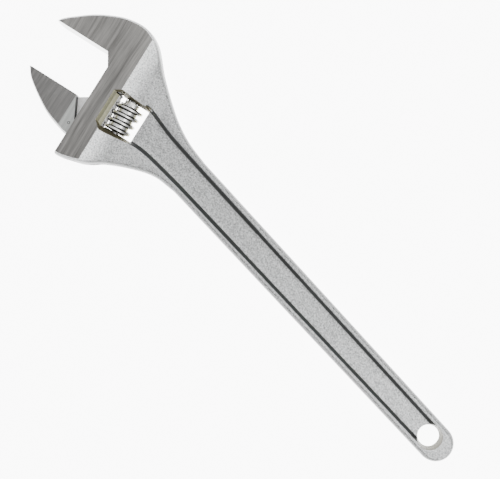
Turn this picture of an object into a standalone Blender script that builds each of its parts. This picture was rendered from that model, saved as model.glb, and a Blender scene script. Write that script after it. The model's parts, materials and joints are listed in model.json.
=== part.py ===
"""Adjustable wrench, nominal 450 mm (18 in) size, jaws set at 15 degrees to the handle.

The forging lies flat: X runs from the jaws to the tail, Z through the thickness. Two frames are used.
The handle frame has its X on the handle's centre line and its origin at the jaw end.
The head frame is turned by the jaw angle. Its v axis leaves the guide face towards the handle, and its
w axis leaves the fixed jaw's gripping face along the way the movable jaw opens.
"""

import math

import bmesh
import bpy
from mathutils import Vector

MM = 0.001

# Overall sizes
OVERALL_LENGTH = 455.0 * MM
HEAD_THICKNESS = 28.0 * MM
JAW_ANGLE = math.radians(15.0)
HEAD_ORIGIN = (54.2 * MM, 21.5 * MM)      # where gripping face and guide face meet, handle frame

# Jaws
JAW_REACH = 52.6 * MM                     # guide face to the tip
REST_OPENING = 40.4 * MM
THROAT_ALONG_FACE = 6.1 * MM
THROAT_ALONG_GUIDE = 10.0 * MM
CHEEK_CHAMFER_ALONG_FACE = 9.2 * MM
CHEEK_CHAMFER_ALONG_GUIDE = 17.5 * MM
CHEEK_STEP_REACH = 8.8 * MM
CHEEK_STEP_DEPTH = 1.2 * MM
HEAD_DRAFT = 2.7 * MM                     # edge band between parting line and ground face
JAW_DRAFT = 2.2 * MM

# Handle
HANDLE_START = 160.0 * MM
HANDLE_HALF_START = 16.3 * MM
TAIL_RADIUS = 14.3 * MM
HANDLE_HALF_THICK_START = 8.3 * MM
HANDLE_HALF_THICK_END = 6.8 * MM
RIB_DRAFT = 3.0 * MM
WEB_HALF_THICK = 4.2 * MM
RIB_WIDTH = 6.0 * MM                      # outline to the middle of the recess wall
RECESS_WALL_RUN = 2.8 * MM
NECK_REACH = 75.0 * MM                    # the head has thinned to the handle this far behind the guide face

# Hanging hole
HOLE_TO_TAIL = 22.0 * MM
HOLE_RADIUS = 8.3 * MM                    # at the parting line
DRAFT_ANGLE = math.radians(15.0)

# Rack bar, web and their bore and slot
RACK_RADIUS = 8.5 * MM
RACK_ABOVE_FACE = 18.4 * MM
RACK_BELOW_FACE = 31.0 * MM
GUIDE_WALL = 2.75 * MM                    # guide face to the bore
WEB_KEY_HALF_THICK = 4.75 * MM
WEB_KEY_ABOVE_FACE = 4.9 * MM
WEB_KEY_BELOW_FACE = 28.5 * MM
WEB_NECK_BELOW_FACE = 1.4 * MM
WEB_ROOT = 1.5 * MM                       # how far the web reaches into the cheek
BAR_CHAMFER = 1.0 * MM
SLIDE_CLEARANCE = 0.3 * MM

# Knurl (adjusting worm)
KNURL_RADIUS = 10.3 * MM
KNURL_ROOT_RADIUS = 7.0 * MM
KNURL_HUB_RADIUS = 6.2 * MM
KNURL_HUB_LENGTH = 3.7 * MM
KNURL_LENGTH = 26.6 * MM
KNURL_PITCH = 6.1 * MM
KNURL_CREST = 1.3 * MM
KNURL_CREST_ROUND = 0.25 * MM
KNURL_FLANK = math.radians(20.0)
KNURL_MIDDLE = 35.7 * MM                  # from the fixed gripping face
KNURL_PHASE = -8.6 * MM                   # a ridge's place at the handle side, from the knurl's middle
MESH_DEPTH = 1.3 * MM                     # how far ridges reach between the rack's teeth
RACK_ROOT_CLEARANCE = 2.1 * MM
RACK_FLANK_CLEARANCE = 0.3 * MM

# Window
WINDOW_END_GAP = 0.3 * MM
WINDOW_JAW_GAP = 1.5 * MM                 # ridge crest to the jaw-side wall, at the parting line
WINDOW_HANDLE_GAP = 4.5 * MM              # ridge crest to the handle-side wall
WINDOW_CORNER_RUN = 2.25 * MM             # jaw-side wall to the corners, on the edge of the ground flat
WINDOW_FLARE_FIXED = 3.4 * MM
WINDOW_FLARE_OUTER = 5.0 * MM

# Pin and spring
PIN_RADIUS = 3.0 * MM
PIN_CLEARANCE = 0.3 * MM
PIN_DEPTH = 9.0 * MM                      # into the forging beyond the window
PIN_RECESS = 1.0 * MM
PIN_CHAMFER = 0.5 * MM
PIN_SLOT_WIDTH = 1.0 * MM
PIN_SLOT_DEPTH = 1.4 * MM
SPRING_WIRE = 0.9 * MM
SPRING_TURNS = 5
SPRING_POCKET_DEPTH = 8.0 * MM
SPRING_CLEARANCE = 0.4 * MM

# What follows from them
HEAD_HALF = HEAD_THICKNESS / 2
BORE_RADIUS = RACK_RADIUS + SLIDE_CLEARANCE
RACK_AXIS_V = GUIDE_WALL + BORE_RADIUS
KNURL_AXIS_V = RACK_AXIS_V + RACK_RADIUS + KNURL_RADIUS - MESH_DEPTH
WINDOW_HALF = KNURL_LENGTH / 2 + WINDOW_END_GAP
WINDOW_TOP_W = KNURL_MIDDLE - WINDOW_HALF
WINDOW_BOTTOM_W = KNURL_MIDDLE + WINDOW_HALF
WINDOW_JAW_V = KNURL_AXIS_V - KNURL_RADIUS - WINDOW_JAW_GAP
WINDOW_HANDLE_V = KNURL_AXIS_V + KNURL_RADIUS + WINDOW_HANDLE_GAP
GROUND_REACH = WINDOW_JAW_V + WINDOW_CORNER_RUN
PIN_BORE_RADIUS = PIN_RADIUS + PIN_CLEARANCE
SPRING_RADIUS = PIN_BORE_RADIUS + SPRING_CLEARANCE + SPRING_WIRE / 2
SPRING_POCKET_RADIUS = SPRING_RADIUS + SPRING_WIRE / 2 + SPRING_CLEARANCE
HOLE_X = OVERALL_LENGTH - HOLE_TO_TAIL
TAIL_CENTRE = OVERALL_LENGTH - TAIL_RADIUS
RECESS_HALF_START = HANDLE_HALF_START - RIB_WIDTH
RECESS_HALF_END = TAIL_RADIUS - RIB_WIDTH

EDGE_LEVELS = ((0.0, 0.0), (0.22, 0.5), (0.5, 0.82), (1.0, 1.0))   # inset and rise shares, forged edge
GAP_SIDE_W = 6.0 * MM                     # the uncut fixed jaw reaches this far into the gap
GAP_SIDE_END = -1.8 * MM
THROUGH = 40.0 * MM                       # cutters reach this far either side of the parting line
FAR_BELOW = 120.0 * MM                    # and this far along the guide, past the lower corner
PAST_END = 5.0 * MM
OFF_RIDGE_TURN = math.radians(3.0)        # keeps the facets of a turned form off the ridge's own
TAIL_ARC_END = math.radians(87.0)         # the arc stops short of the centre line
ROUND_STEPS = 32
SPLINE_STEPS = 8


# ---------------------------------------------------------------- frames and curves

def handle_point(v, w):
    """Handle-frame point of a head-frame place."""
    along = (math.cos(JAW_ANGLE), math.sin(JAW_ANGLE))
    opening = (math.sin(JAW_ANGLE), -math.cos(JAW_ANGLE))
    x = HEAD_ORIGIN[0] + v * along[0] + w * opening[0]
    y = HEAD_ORIGIN[1] + v * along[1] + w * opening[1]
    return Vector((x, y))


def head_point(point):
    """Head-frame v and w of a handle-frame point."""
    dx = point[0] - HEAD_ORIGIN[0]
    dy = point[1] - HEAD_ORIGIN[1]
    v = dx * math.cos(JAW_ANGLE) + dy * math.sin(JAW_ANGLE)
    w = dx * math.sin(JAW_ANGLE) - dy * math.cos(JAW_ANGLE)
    return v, w


def smooth_curve(points, steps=SPLINE_STEPS):
    """Points of a Catmull-Rom curve through the given ones."""
    padded = [points[0] * 2 - points[1]] + list(points) + [points[-1] * 2 - points[-2]]
    curve = []
    for i in range(1, len(padded) - 2):
        p0, p1, p2, p3 = padded[i - 1:i + 3]
        for k in range(steps):
            t = k / steps
            linear = (p2 - p0) * t
            square = (p0 * 2 - p1 * 5 + p2 * 4 - p3) * t ** 2
            cube = (p1 * 3 - p0 - p2 * 3 + p3) * t ** 3
            curve.append((p1 * 2 + linear + square + cube) / 2)
    curve.append(points[-1].copy())
    return curve


def tail_arc(side):
    """Round end of the handle, from its straight edge to just short of the centre line."""
    points = []
    for k in range(1, 8):
        angle = TAIL_ARC_END * k / 7
        x = TAIL_CENTRE + TAIL_RADIUS * math.sin(angle)
        points.append(Vector((x, side * TAIL_RADIUS * math.cos(angle))))
    return points


def straight_edge(side, half_start, half_end, end_x, count=7):
    """Evenly spaced points along one edge of the tapering handle."""
    points = []
    for k in range(count):
        t = k / (count - 1)
        x = HANDLE_START + (end_x - HANDLE_START) * t
        points.append(Vector((x, side * (half_start + (half_end - half_start) * t))))
    return points


def back_edge():
    """Fixed-jaw side of the forging: blunt tip, back of the jaw, shoulder, neck and handle."""
    head = [
        handle_point(-JAW_REACH - 0.3 * MM, 4.0 * MM),
        handle_point(-JAW_REACH, -0.6 * MM),
        handle_point(-JAW_REACH + 3.6 * MM, -5.4 * MM),
        handle_point(-JAW_REACH + 10.7 * MM, -11.4 * MM),
        handle_point(-31.8 * MM, -19.2 * MM),
        handle_point(-20.5 * MM, -25.6 * MM),
        handle_point(-7.0 * MM, -30.8 * MM),
        handle_point(9.0 * MM, -31.9 * MM),
        handle_point(23.1 * MM, -25.3 * MM),
        handle_point(38.8 * MM, -8.3 * MM),
        handle_point(54.8 * MM, 6.4 * MM),
        Vector((124.5 * MM, 22.7 * MM)),
        Vector((141.0 * MM, 18.3 * MM)),
    ]
    start = Vector((HANDLE_START, HANDLE_HALF_START))
    return (smooth_curve(head + [start])[:-1]
            + straight_edge(1, HANDLE_HALF_START, TAIL_RADIUS, TAIL_CENTRE)
            + tail_arc(1))


def jaw_edge():
    """Movable-jaw side of the forging: lower corner, shoulder, neck and handle."""
    head = [
        handle_point(-3.3 * MM, 89.0 * MM),
        handle_point(5.0 * MM, 88.1 * MM),
        handle_point(18.2 * MM, 84.5 * MM),
        handle_point(27.4 * MM, 80.3 * MM),
        handle_point(36.6 * MM, 74.2 * MM),
        Vector((124.5 * MM, -28.7 * MM)),
        Vector((141.0 * MM, -19.7 * MM)),
    ]
    start = Vector((HANDLE_START, -HANDLE_HALF_START))
    return (smooth_curve(head + [start])[:-1]
            + straight_edge(-1, HANDLE_HALF_START, TAIL_RADIUS, TAIL_CENTRE)
            + tail_arc(-1))


def recess_edge(side):
    """Middle of one wall of the handle's recess, from the window's corner to the hanging hole."""
    corner_v = WINDOW_HANDLE_V - 6.0 * MM
    if side > 0:
        corner = handle_point(corner_v, WINDOW_TOP_W - 2.6 * MM)
        bends = [handle_point(corner_v + 8.0 * MM, WINDOW_TOP_W - 1.5 * MM)]
        bends += [Vector((128.0 * MM, 11.0 * MM))]
    else:
        corner = handle_point(corner_v, WINDOW_BOTTOM_W + 3.2 * MM)
        bends = [handle_point(corner_v + 7.0 * MM, WINDOW_BOTTOM_W + 0.4 * MM)]
        bends += [Vector((126.0 * MM, -11.8 * MM))]
    start = Vector((HANDLE_START, side * RECESS_HALF_START))
    return (smooth_curve([corner] + bends + [start])[:-1]
            + straight_edge(side, RECESS_HALF_START, RECESS_HALF_END, TAIL_CENTRE))


def crossing(curve, middle_x, tilt):
    """Where a section line crosses a curve, and the curve's direction there.

    The line passes through the centre line at middle_x and leans by tilt.
    """
    def side_of(point):
        return (point[0] - middle_x) * math.cos(tilt) + point[1] * math.sin(tilt)

    for i in range(len(curve) - 1):
        near = side_of(curve[i])
        far = side_of(curve[i + 1])
        if near <= 0 < far:
            t = near / (near - far)
            before = curve[i + 1] - curve[max(i - 1, 0)]
            after = curve[min(i + 2, len(curve) - 1)] - curve[i]
            direction = before.normalized().lerp(after.normalized(), t)
            return curve[i].lerp(curve[i + 1], t), direction.normalized()
    ends = sorted((curve[0], curve[-1]), key=lambda point: abs(side_of(point)))
    return ends[0], None


# ---------------------------------------------------------------- mesh helpers

def new_object(name, mesh, parent, helper=False):
    """Object holding the mesh, parented without moving it."""
    thing = bpy.data.objects.new(name, mesh)
    bpy.context.scene.collection.objects.link(thing)
    thing.parent = parent
    if helper:
        thing.hide_render = True
        thing.display_type = 'WIRE'
    return thing


def mesh_of(name, build):
    """Mesh made by a function that fills a bmesh, with its faces turned outwards."""
    shape = bmesh.new()
    build(shape)
    bmesh.ops.recalc_face_normals(shape, faces=shape.faces)
    mesh = bpy.data.meshes.new(name)
    shape.to_mesh(mesh)
    shape.free()
    return mesh


def frame_empty(name, parent, location, rotation=(0.0, 0.0, 0.0)):
    """Empty that carries the pieces of one frame."""
    empty = bpy.data.objects.new(name, None)
    bpy.context.scene.collection.objects.link(empty)
    empty.parent = parent
    empty.location = location
    empty.rotation_euler = rotation
    return empty


def join_rings(shape, rings):
    """Skin between rings of equal length, as rows of vertices, with its two ends open."""
    rows = [[shape.verts.new(point) for point in ring] for ring in rings]
    count = len(rows[0])
    for lower, upper in zip(rows, rows[1:]):
        for k in range(count):
            after = (k + 1) % count
            shape.faces.new((lower[k], lower[after], upper[after], upper[k]))
    return rows


def stack_rings(shape, rings):
    """Closed skin over flat rings of equal length, with an end face on the first and the last."""
    rows = join_rings(shape, rings)
    shape.faces.new(rows[0][::-1])
    shape.faces.new(rows[-1])


def stack_sections(shape, rings):
    """Closed skin over the forging's sections, with ends closed by strips from edge to edge.

    A ring holds its upper points from edge to edge, then the lower ones between them on the way back.
    """
    rows = join_rings(shape, rings)
    strips = len(EDGE_LEVELS) - 2
    for row in (rows[0], rows[-1]):
        half = len(row) // 2
        for points in (row[:half + 1], [row[0]] + row[:half - 1:-1]):
            last = len(points) - 1
            for k in range(strips):
                shape.faces.new((points[k], points[k + 1], points[last - k - 1], points[last - k]))
            shape.faces.new(points[strips:last - strips + 1])


def prism_mesh(name, outline, low, high):
    """Straight prism over an outline of x and y pairs."""
    rings = [[(x, y, z) for x, y in outline] for z in (low, high)]
    return mesh_of(name, lambda shape: stack_rings(shape, rings))


def turned_mesh(name, profile, steps=ROUND_STEPS):
    """Solid turned about Z from radius and height pairs, flat at both ends."""
    rings = []
    for radius, height in profile:
        ring = []
        for k in range(steps):
            angle = math.tau * k / steps
            ring.append((radius * math.cos(angle), radius * math.sin(angle), height))
        rings.append(ring)
    return mesh_of(name, lambda shape: stack_rings(shape, rings))


def helical_mesh(name, profile, pitch, phase, low, high, steps):
    """Rod whose skin is a one-pitch profile of rise and radius pairs, swept along a right-handed helix."""
    first = math.floor((low - phase) / pitch * steps)
    last = math.ceil((high - phase) / pitch * steps)

    def build(shape):
        rows = {}
        for i in range(first, last + steps + 1):
            angle = math.tau * i / steps
            rows[i] = []
            for rise, radius in profile:
                height = phase + pitch * i / steps + rise
                place = (radius * math.cos(angle), radius * math.sin(angle), height)
                rows[i].append(shape.verts.new(place))
                if i > last:
                    break
        count = len(profile)

        def vertex(i, j):
            return rows[i][j] if j < count else rows[i + steps][0]

        for i in range(first, last):
            for j in range(count):
                shape.faces.new((vertex(i, j), vertex(i + 1, j), vertex(i + 1, j + 1), vertex(i, j + 1)))
        start_rim = [vertex(i, 0) for i in range(first, first + steps)]
        start_rim += [vertex(first, j) for j in range(count, 0, -1)]
        end_rim = [vertex(i, 0) for i in range(last + steps, last, -1)]
        end_rim += [vertex(last, j) for j in range(count)]
        for rim, turn in ((start_rim, first), (end_rim, last)):
            middle = shape.verts.new((0.0, 0.0, phase + pitch * turn / steps))
            for k in range(len(rim)):
                shape.faces.new((rim[k], rim[(k + 1) % len(rim)], middle))

    return mesh_of(name, build)


def cut(thing, cutter, operation='DIFFERENCE'):
    """Boolean modifier on a piece."""
    step = thing.modifiers.new(cutter.name, 'BOOLEAN')
    step.operation = operation
    step.solver = 'EXACT'
    step.object = cutter


def shade(thing, angle=35.0):
    """Smooth shading with edges past the angle kept sharp."""
    thing.data.shade_smooth()
    thing.data.set_sharp_from_angle(angle=math.radians(angle))


def metal(name, colour, roughness):
    """Bare or plated metal."""
    material = bpy.data.materials.new(name)
    material.use_nodes = True
    shader = material.node_tree.nodes['Principled BSDF']
    shader.inputs['Base Color'].default_value = (*colour, 1.0)
    shader.inputs['Metallic'].default_value = 1.0
    shader.inputs['Roughness'].default_value = roughness
    return material


# ---------------------------------------------------------------- wrench body

def half_thickness(middle_x):
    """Half the forging's thickness where a section line crosses the centre line."""
    ground_end = (HEAD_ORIGIN[0] * math.cos(JAW_ANGLE) + HEAD_ORIGIN[1] * math.sin(JAW_ANGLE)
                  + GROUND_REACH) / math.cos(JAW_ANGLE)
    neck_end = ground_end + (NECK_REACH - GROUND_REACH) / math.cos(JAW_ANGLE)
    if middle_x <= ground_end:
        return HEAD_HALF
    if middle_x <= neck_end:
        left = (neck_end - middle_x) / (neck_end - ground_end)
        return HANDLE_HALF_THICK_START + (HEAD_HALF - HANDLE_HALF_THICK_START) * left ** 2
    along = (middle_x - neck_end) / (OVERALL_LENGTH - neck_end)
    return HANDLE_HALF_THICK_START + (HANDLE_HALF_THICK_END - HANDLE_HALF_THICK_START) * along


def section_lines():
    """Section lines of the forging as centre-line place, lean and whether the recess is open there."""
    lean = JAW_ANGLE
    origin_v = HEAD_ORIGIN[0] * math.cos(lean) + HEAD_ORIGIN[1] * math.sin(lean)

    def middle(v):
        return (origin_v + v) / math.cos(lean)

    lines = []
    for share in (-0.004, 0.0, 0.012, 0.036, 0.08, 0.14, 0.22, 0.32, 0.43, 0.55, 0.67, 0.79, 0.9, 0.96):
        lines.append((middle(-JAW_REACH * (1 - share)), lean, False))
    lines.append((middle(-1.5 * MM), lean, False))
    for share in (0.0, 0.25, 0.5, 0.75, 1.0):
        lines.append((middle(2.0 * MM + (GROUND_REACH - 2.0 * MM) * share), lean, False))
    recess_v = WINDOW_HANDLE_V - 4.0 * MM
    for share in (0.25, 0.5, 0.75, 1.0):
        lines.append((middle(GROUND_REACH + (recess_v - GROUND_REACH) * share), lean, False))
    lines.append((middle(WINDOW_HANDLE_V - 1.2 * MM), lean, True))
    turn_start = middle(WINDOW_HANDLE_V + 4.0 * MM)
    turn_steps = 9
    for k in range(turn_steps + 1):
        t = k / turn_steps
        lines.append((turn_start + (HANDLE_START - turn_start) * t, lean * (1 - t), True))
    recess_end = HOLE_X - HOLE_RADIUS * 0.35
    for k in range(1, 7):
        lines.append((HANDLE_START + (recess_end - HANDLE_START) * k / 6, 0.0, True))
    lines.append((HOLE_X + HOLE_RADIUS * 0.15, 0.0, False))
    for point in tail_arc(1)[:-1]:
        lines.append((point[0], 0.0, False))
    lines.append((tail_arc(1)[-1][0] - 0.01 * MM, 0.0, False))
    return lines


def body_section(line, curves):
    """Ring of points round one section of the forging."""
    middle_x, lean, recessed = line
    back, front, upper_wall, lower_wall = curves
    half = half_thickness(middle_x)
    head_share = (half - HANDLE_HALF_THICK_START) / (HEAD_HALF - HANDLE_HALF_THICK_START)
    head_share = min(max(head_share, 0.0), 1.0)
    draft = RIB_DRAFT + (HEAD_DRAFT - RIB_DRAFT) * head_share
    top, top_way = crossing(back, middle_x, lean)
    top_in = Vector((top_way[1], -top_way[0]))
    top_side = [(top + top_in * draft * inset, half * rise) for inset, rise in EDGE_LEVELS]
    v = head_point(top)[0]
    if lean == JAW_ANGLE and v < GAP_SIDE_END:
        low_side = [(handle_point(head_point(point)[0], GAP_SIDE_W), height) for point, height in top_side]
    else:
        low, low_way = crossing(front, middle_x, lean)
        low_in = Vector((-low_way[1], low_way[0]))
        low_side = [(low + low_in * draft * inset, half * rise) for inset, rise in EDGE_LEVELS]
    top_rim = top_side[-1][0]
    across = low_side[-1][0] - top_rim
    upper, upper_way = crossing(upper_wall, middle_x, lean)
    lower, lower_way = crossing(lower_wall, middle_x, lean)
    if upper_way and lower_way:
        way = across.normalized()
        run = RECESS_WALL_RUN / 2
        floor = WEB_HALF_THICK if recessed else half
        inner = [(upper - way * run, half), (upper + way * run, floor),
                 (lower - way * run, floor), (lower + way * run, half)]
    else:
        inner = [(top_rim + across * share, half) for share in (0.2, 0.4, 0.6, 0.8)]
    face = top_side + inner + low_side[::-1]
    ring = [(point[0], point[1], height) for point, height in face]
    ring += [(point[0], point[1], -height) for point, height in face[-2:0:-1]]
    return ring


def gap_cutter(head):
    """What lies between the gripping face, the throat and the guide face."""
    far = JAW_REACH * 1.5
    outline = [(-far, 0.0), (-far, -FAR_BELOW), (0.0, -FAR_BELOW),
               (0.0, -THROAT_ALONG_GUIDE), (-THROAT_ALONG_FACE, 0.0)]
    mesh = prism_mesh('jaw_gap_cutter', outline, -THROUGH, THROUGH)
    return new_object('jaw_gap_cutter', mesh, head, helper=True)


def window_cutter(head):
    """Knurl window, narrowest at the parting line and flared to both faces."""
    corner_v = GROUND_REACH
    handle_v = WINDOW_HANDLE_V
    flare_jaw = HEAD_HALF * math.tan(DRAFT_ANGLE)

    def outline(height):
        share = height / HEAD_HALF
        jaw_v = WINDOW_JAW_V - flare_jaw * share
        fixed = WINDOW_FLARE_FIXED * share
        outer = WINDOW_FLARE_OUTER * share
        places = [(jaw_v, WINDOW_TOP_W),
                  (corner_v, WINDOW_TOP_W - fixed),
                  (handle_v, WINDOW_TOP_W - fixed * 0.75),
                  (handle_v, WINDOW_BOTTOM_W + outer * 0.6),
                  (corner_v, WINDOW_BOTTOM_W + outer),
                  (jaw_v, WINDOW_BOTTOM_W)]
        return [(v, -w) for v, w in places]

    top = HEAD_HALF * 1.2
    rings = []
    for height in (-top, 0.0, top):
        rings.append([(x, y, height) for x, y in outline(abs(height))])
    mesh = mesh_of('window_cutter', lambda shape: stack_rings(shape, rings))
    return new_object('window_cutter', mesh, head, helper=True)


def bore_cutter(head):
    """Round bore for the rack bar, blind towards the fixed jaw and open at the lower edge."""
    blind = RACK_ABOVE_FACE + SLIDE_CLEARANCE
    cone = BORE_RADIUS * 0.25
    profile = [(BORE_RADIUS * 0.5, -blind - cone), (BORE_RADIUS, -blind), (BORE_RADIUS, FAR_BELOW)]
    cutter = new_object('rack_bore_cutter', turned_mesh('rack_bore_cutter', profile), head, helper=True)
    cutter.location = (RACK_AXIS_V, 0.0, 0.0)
    cutter.rotation_euler = (math.pi / 2, 0.0, 0.0)
    return cutter


def key_outline(grow):
    """Outline of the web between cheek and rack bar, or of its slot where grow is a clearance."""
    bar = RACK_AXIS_V
    face = -WEB_KEY_ABOVE_FACE - grow
    return [(-CHEEK_CHAMFER_ALONG_FACE - WEB_ROOT, WEB_NECK_BELOW_FACE - grow), (0.0, face), (bar, face)]


def slot_cutter(head):
    """Slot that lets the web pass from the guide face into the bore."""
    outline = key_outline(SLIDE_CLEARANCE * 2)
    places = outline + [(RACK_AXIS_V, FAR_BELOW), (-JAW_REACH, FAR_BELOW), (-JAW_REACH, outline[0][1])]
    half = WEB_KEY_HALF_THICK + SLIDE_CLEARANCE
    mesh = prism_mesh('key_slot_cutter', [(v, -w) for v, w in places], -half, half)
    return new_object('key_slot_cutter', mesh, head, helper=True)


def pin_end_w():
    """How far down the knurl's axis the forging reaches on the near side of the pin's hole."""
    lower = [head_point(point) for point in jaw_edge()]
    reach = KNURL_AXIS_V + PIN_BORE_RADIUS
    for (v0, w0), (v1, w1) in zip(lower, lower[1:]):
        if v0 <= reach < v1:
            return w0 + (w1 - w0) * (reach - v0) / (v1 - v0)
    return lower[-1][1]


def pin_hole_cutter(head):
    """Hole for the knurl's pin, from the lower edge through the window into the head."""
    top = WINDOW_TOP_W - PIN_DEPTH - PIN_CLEARANCE
    profile = [(PIN_BORE_RADIUS, top), (PIN_BORE_RADIUS, FAR_BELOW)]
    cutter = new_object('pin_hole_cutter', turned_mesh('pin_hole_cutter', profile, 20), head, helper=True)
    cutter.location = (KNURL_AXIS_V, 0.0, 0.0)
    cutter.rotation_euler = (math.pi / 2, 0.0, 0.0)
    return cutter


def hanging_hole_cutter(root):
    """Hanging hole, narrowest at the parting line."""
    wide = HOLE_RADIUS + THROUGH * math.tan(DRAFT_ANGLE)
    profile = [(wide, -THROUGH), (HOLE_RADIUS, 0.0), (wide, THROUGH)]
    cutter = new_object('hanging_hole_cutter', turned_mesh('hanging_hole_cutter', profile), root, helper=True)
    cutter.location = (HOLE_X, 0.0, 0.0)
    return cutter


def wrench_body(root, head):
    """Forging: fixed jaw, head and ribbed handle in one piece."""
    curves = (back_edge(), jaw_edge(), recess_edge(1), recess_edge(-1))
    rings = [body_section(line, curves) for line in section_lines()]
    body = new_object('wrench_body', mesh_of('wrench_body', lambda shape: stack_sections(shape, rings)), root)
    for cutter in (gap_cutter(head), window_cutter(head), bore_cutter(head),
                   slot_cutter(head), pin_hole_cutter(head), hanging_hole_cutter(root)):
        cut(body, cutter)
    shade(body, 25.0)
    body.data.materials.append(metal('satin_chrome', (0.60, 0.61, 0.61), 0.38))
    return body


# ---------------------------------------------------------------- movable jaw

def jaw_lower_edge():
    """Curved underside of the movable jaw, from its tip to the guide, measured from its gripping face."""
    tip = -JAW_REACH
    points = [(tip + 0.2 * MM, 1.8 * MM), (tip + 6.0 * MM, 8.9 * MM), (tip + 18.6 * MM, 17.9 * MM),
              (-21.3 * MM, 25.0 * MM), (-6.6 * MM, 29.8 * MM), (-SLIDE_CLEARANCE, 31.0 * MM)]
    return smooth_curve([Vector(point) for point in points], 5)


def cheek_mesh():
    """Jaw without its web and rack: flat gripping face, chamfered inner corner and drafted underside."""
    lower = jaw_lower_edge()
    guide = -SLIDE_CLEARANCE
    straight = [(guide, CHEEK_CHAMFER_ALONG_GUIDE), (-CHEEK_CHAMFER_ALONG_FACE, 0.0), (-JAW_REACH, 0.0)]

    def ring(height):
        share = (abs(height) / HEAD_HALF) ** 1.5
        points = [(v, -w, height) for v, w in straight]
        for k, point in enumerate(lower):
            before = lower[max(k - 1, 0)]
            after = lower[min(k + 1, len(lower) - 1)]
            way = (after - before).normalized()
            inward = Vector((way[1], -way[0])) * JAW_DRAFT * share
            v = min(point[0] + inward[0], guide)
            w = point[1] + inward[1]
            points.append((v, -w, height))
        tip_shift = JAW_DRAFT * share * 1.6
        points[2] = (points[2][0] + tip_shift, 0.0, height)
        return points

    heights = [HEAD_HALF * share for share in (-1.0, -0.75, -0.45, 0.0, 0.45, 0.75, 1.0)]
    return mesh_of('cheek', lambda shape: stack_rings(shape, [ring(height) for height in heights]))


def cheek_step_cutter(jaw, side):
    """Wedge that lowers the cheek's face towards the guide."""
    height = HEAD_HALF
    above = height + PAST_END
    profile = [(-CHEEK_STEP_REACH, height), (CHEEK_STEP_REACH, height - 2 * CHEEK_STEP_DEPTH),
               (CHEEK_STEP_REACH, above), (-CHEEK_STEP_REACH, above)]
    rings = [[(v, y, side * z) for v, z in profile] for y in (-THROUGH, THROUGH)]
    name = 'cheek_step_cutter_front' if side > 0 else 'cheek_step_cutter_back'
    mesh = mesh_of(name, lambda shape: stack_rings(shape, rings))
    return new_object(name, mesh, jaw, helper=True)


def rack_profile():
    """Tooth gap of the rack: a knurl ridge grown by its clearances, over one pitch."""
    crest_radius = KNURL_RADIUS + RACK_ROOT_CLEARANCE
    root_radius = KNURL_ROOT_RADIUS
    grow = RACK_FLANK_CLEARANCE / math.cos(KNURL_FLANK)

    def half_width(radius):
        return KNURL_CREST / 2 + (KNURL_RADIUS - radius) * math.tan(KNURL_FLANK) + grow

    crest = max(half_width(crest_radius), 0.1 * MM)
    root = half_width(root_radius)
    return [(-root, root_radius), (-crest, crest_radius), (crest, crest_radius), (root, root_radius)]


def movable_jaw(head):
    """Movable jaw with its web and the rack bar that the knurl drives."""
    jaw = new_object('movable_jaw', cheek_mesh(), head)
    jaw.location = (0.0, -REST_OPENING, 0.0)
    for side in (1, -1):
        cut(jaw, cheek_step_cutter(jaw, side))

    places = key_outline(0.0)
    places += [(RACK_AXIS_V, WEB_KEY_BELOW_FACE), (-CHEEK_CHAMFER_ALONG_FACE - WEB_ROOT, WEB_KEY_BELOW_FACE)]
    web_mesh = prism_mesh('key_web', [(v, -w) for v, w in places], -WEB_KEY_HALF_THICK, WEB_KEY_HALF_THICK)
    web = new_object('key_web', web_mesh, jaw, helper=True)
    cut(jaw, web, 'UNION')

    bar_profile = [(RACK_RADIUS - BAR_CHAMFER, -RACK_ABOVE_FACE),
                   (RACK_RADIUS, -RACK_ABOVE_FACE + BAR_CHAMFER),
                   (RACK_RADIUS, RACK_BELOW_FACE - BAR_CHAMFER),
                   (RACK_RADIUS - BAR_CHAMFER, RACK_BELOW_FACE)]
    bar = new_object('rack_bar', turned_mesh('rack_bar', bar_profile), jaw, helper=True)
    bar.location = (RACK_AXIS_V, 0.0, 0.0)
    bar.rotation_euler = (math.pi / 2, 0.0, 0.0)
    cut(jaw, bar, 'UNION')

    phase = KNURL_MIDDLE + KNURL_PHASE - REST_OPENING
    teeth_mesh = helical_mesh('rack_teeth_cutter', rack_profile(), KNURL_PITCH, phase,
                              -RACK_ABOVE_FACE - 2 * KNURL_PITCH, RACK_BELOW_FACE + KNURL_PITCH, ROUND_STEPS)
    teeth = new_object('rack_teeth_cutter', teeth_mesh, jaw, helper=True)
    teeth.location = (KNURL_AXIS_V, 0.0, 0.0)
    teeth.rotation_euler = (math.pi / 2, 0.0, 0.0)
    cut(jaw, teeth)
    shade(jaw, 25.0)
    jaw.data.materials.append(metal('ground_steel', (0.36, 0.36, 0.35), 0.32))
    return jaw


# ---------------------------------------------------------------- knurl, pin and spring

def knurl_blank(axis):
    """Outer form that the ridged rod is trimmed to: plain hub, then the ridged length."""
    half = KNURL_LENGTH / 2
    hub_end = -half + KNURL_HUB_LENGTH
    outside = KNURL_RADIUS * 1.1
    profile = [(KNURL_HUB_RADIUS, -half), (KNURL_HUB_RADIUS, hub_end), (outside, hub_end),
               (outside, half)]
    blank = new_object('knurl_blank', turned_mesh('knurl_blank', profile, 40), axis, helper=True)
    blank.rotation_euler = (0.0, 0.0, OFF_RIDGE_TURN)
    return blank


def knurl_bore_cutter(axis):
    """Bore for the pin, opened out at the outer end for the spring."""
    half = KNURL_LENGTH / 2
    pocket = half - SPRING_POCKET_DEPTH
    profile = [(PIN_BORE_RADIUS, -half - PAST_END), (PIN_BORE_RADIUS, pocket),
               (SPRING_POCKET_RADIUS, pocket), (SPRING_POCKET_RADIUS, half + PAST_END)]
    cutter = new_object('knurl_bore_cutter', turned_mesh('knurl_bore_cutter', profile, 24), axis, helper=True)
    cutter.rotation_euler = (0.0, 0.0, OFF_RIDGE_TURN)
    return cutter


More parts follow.
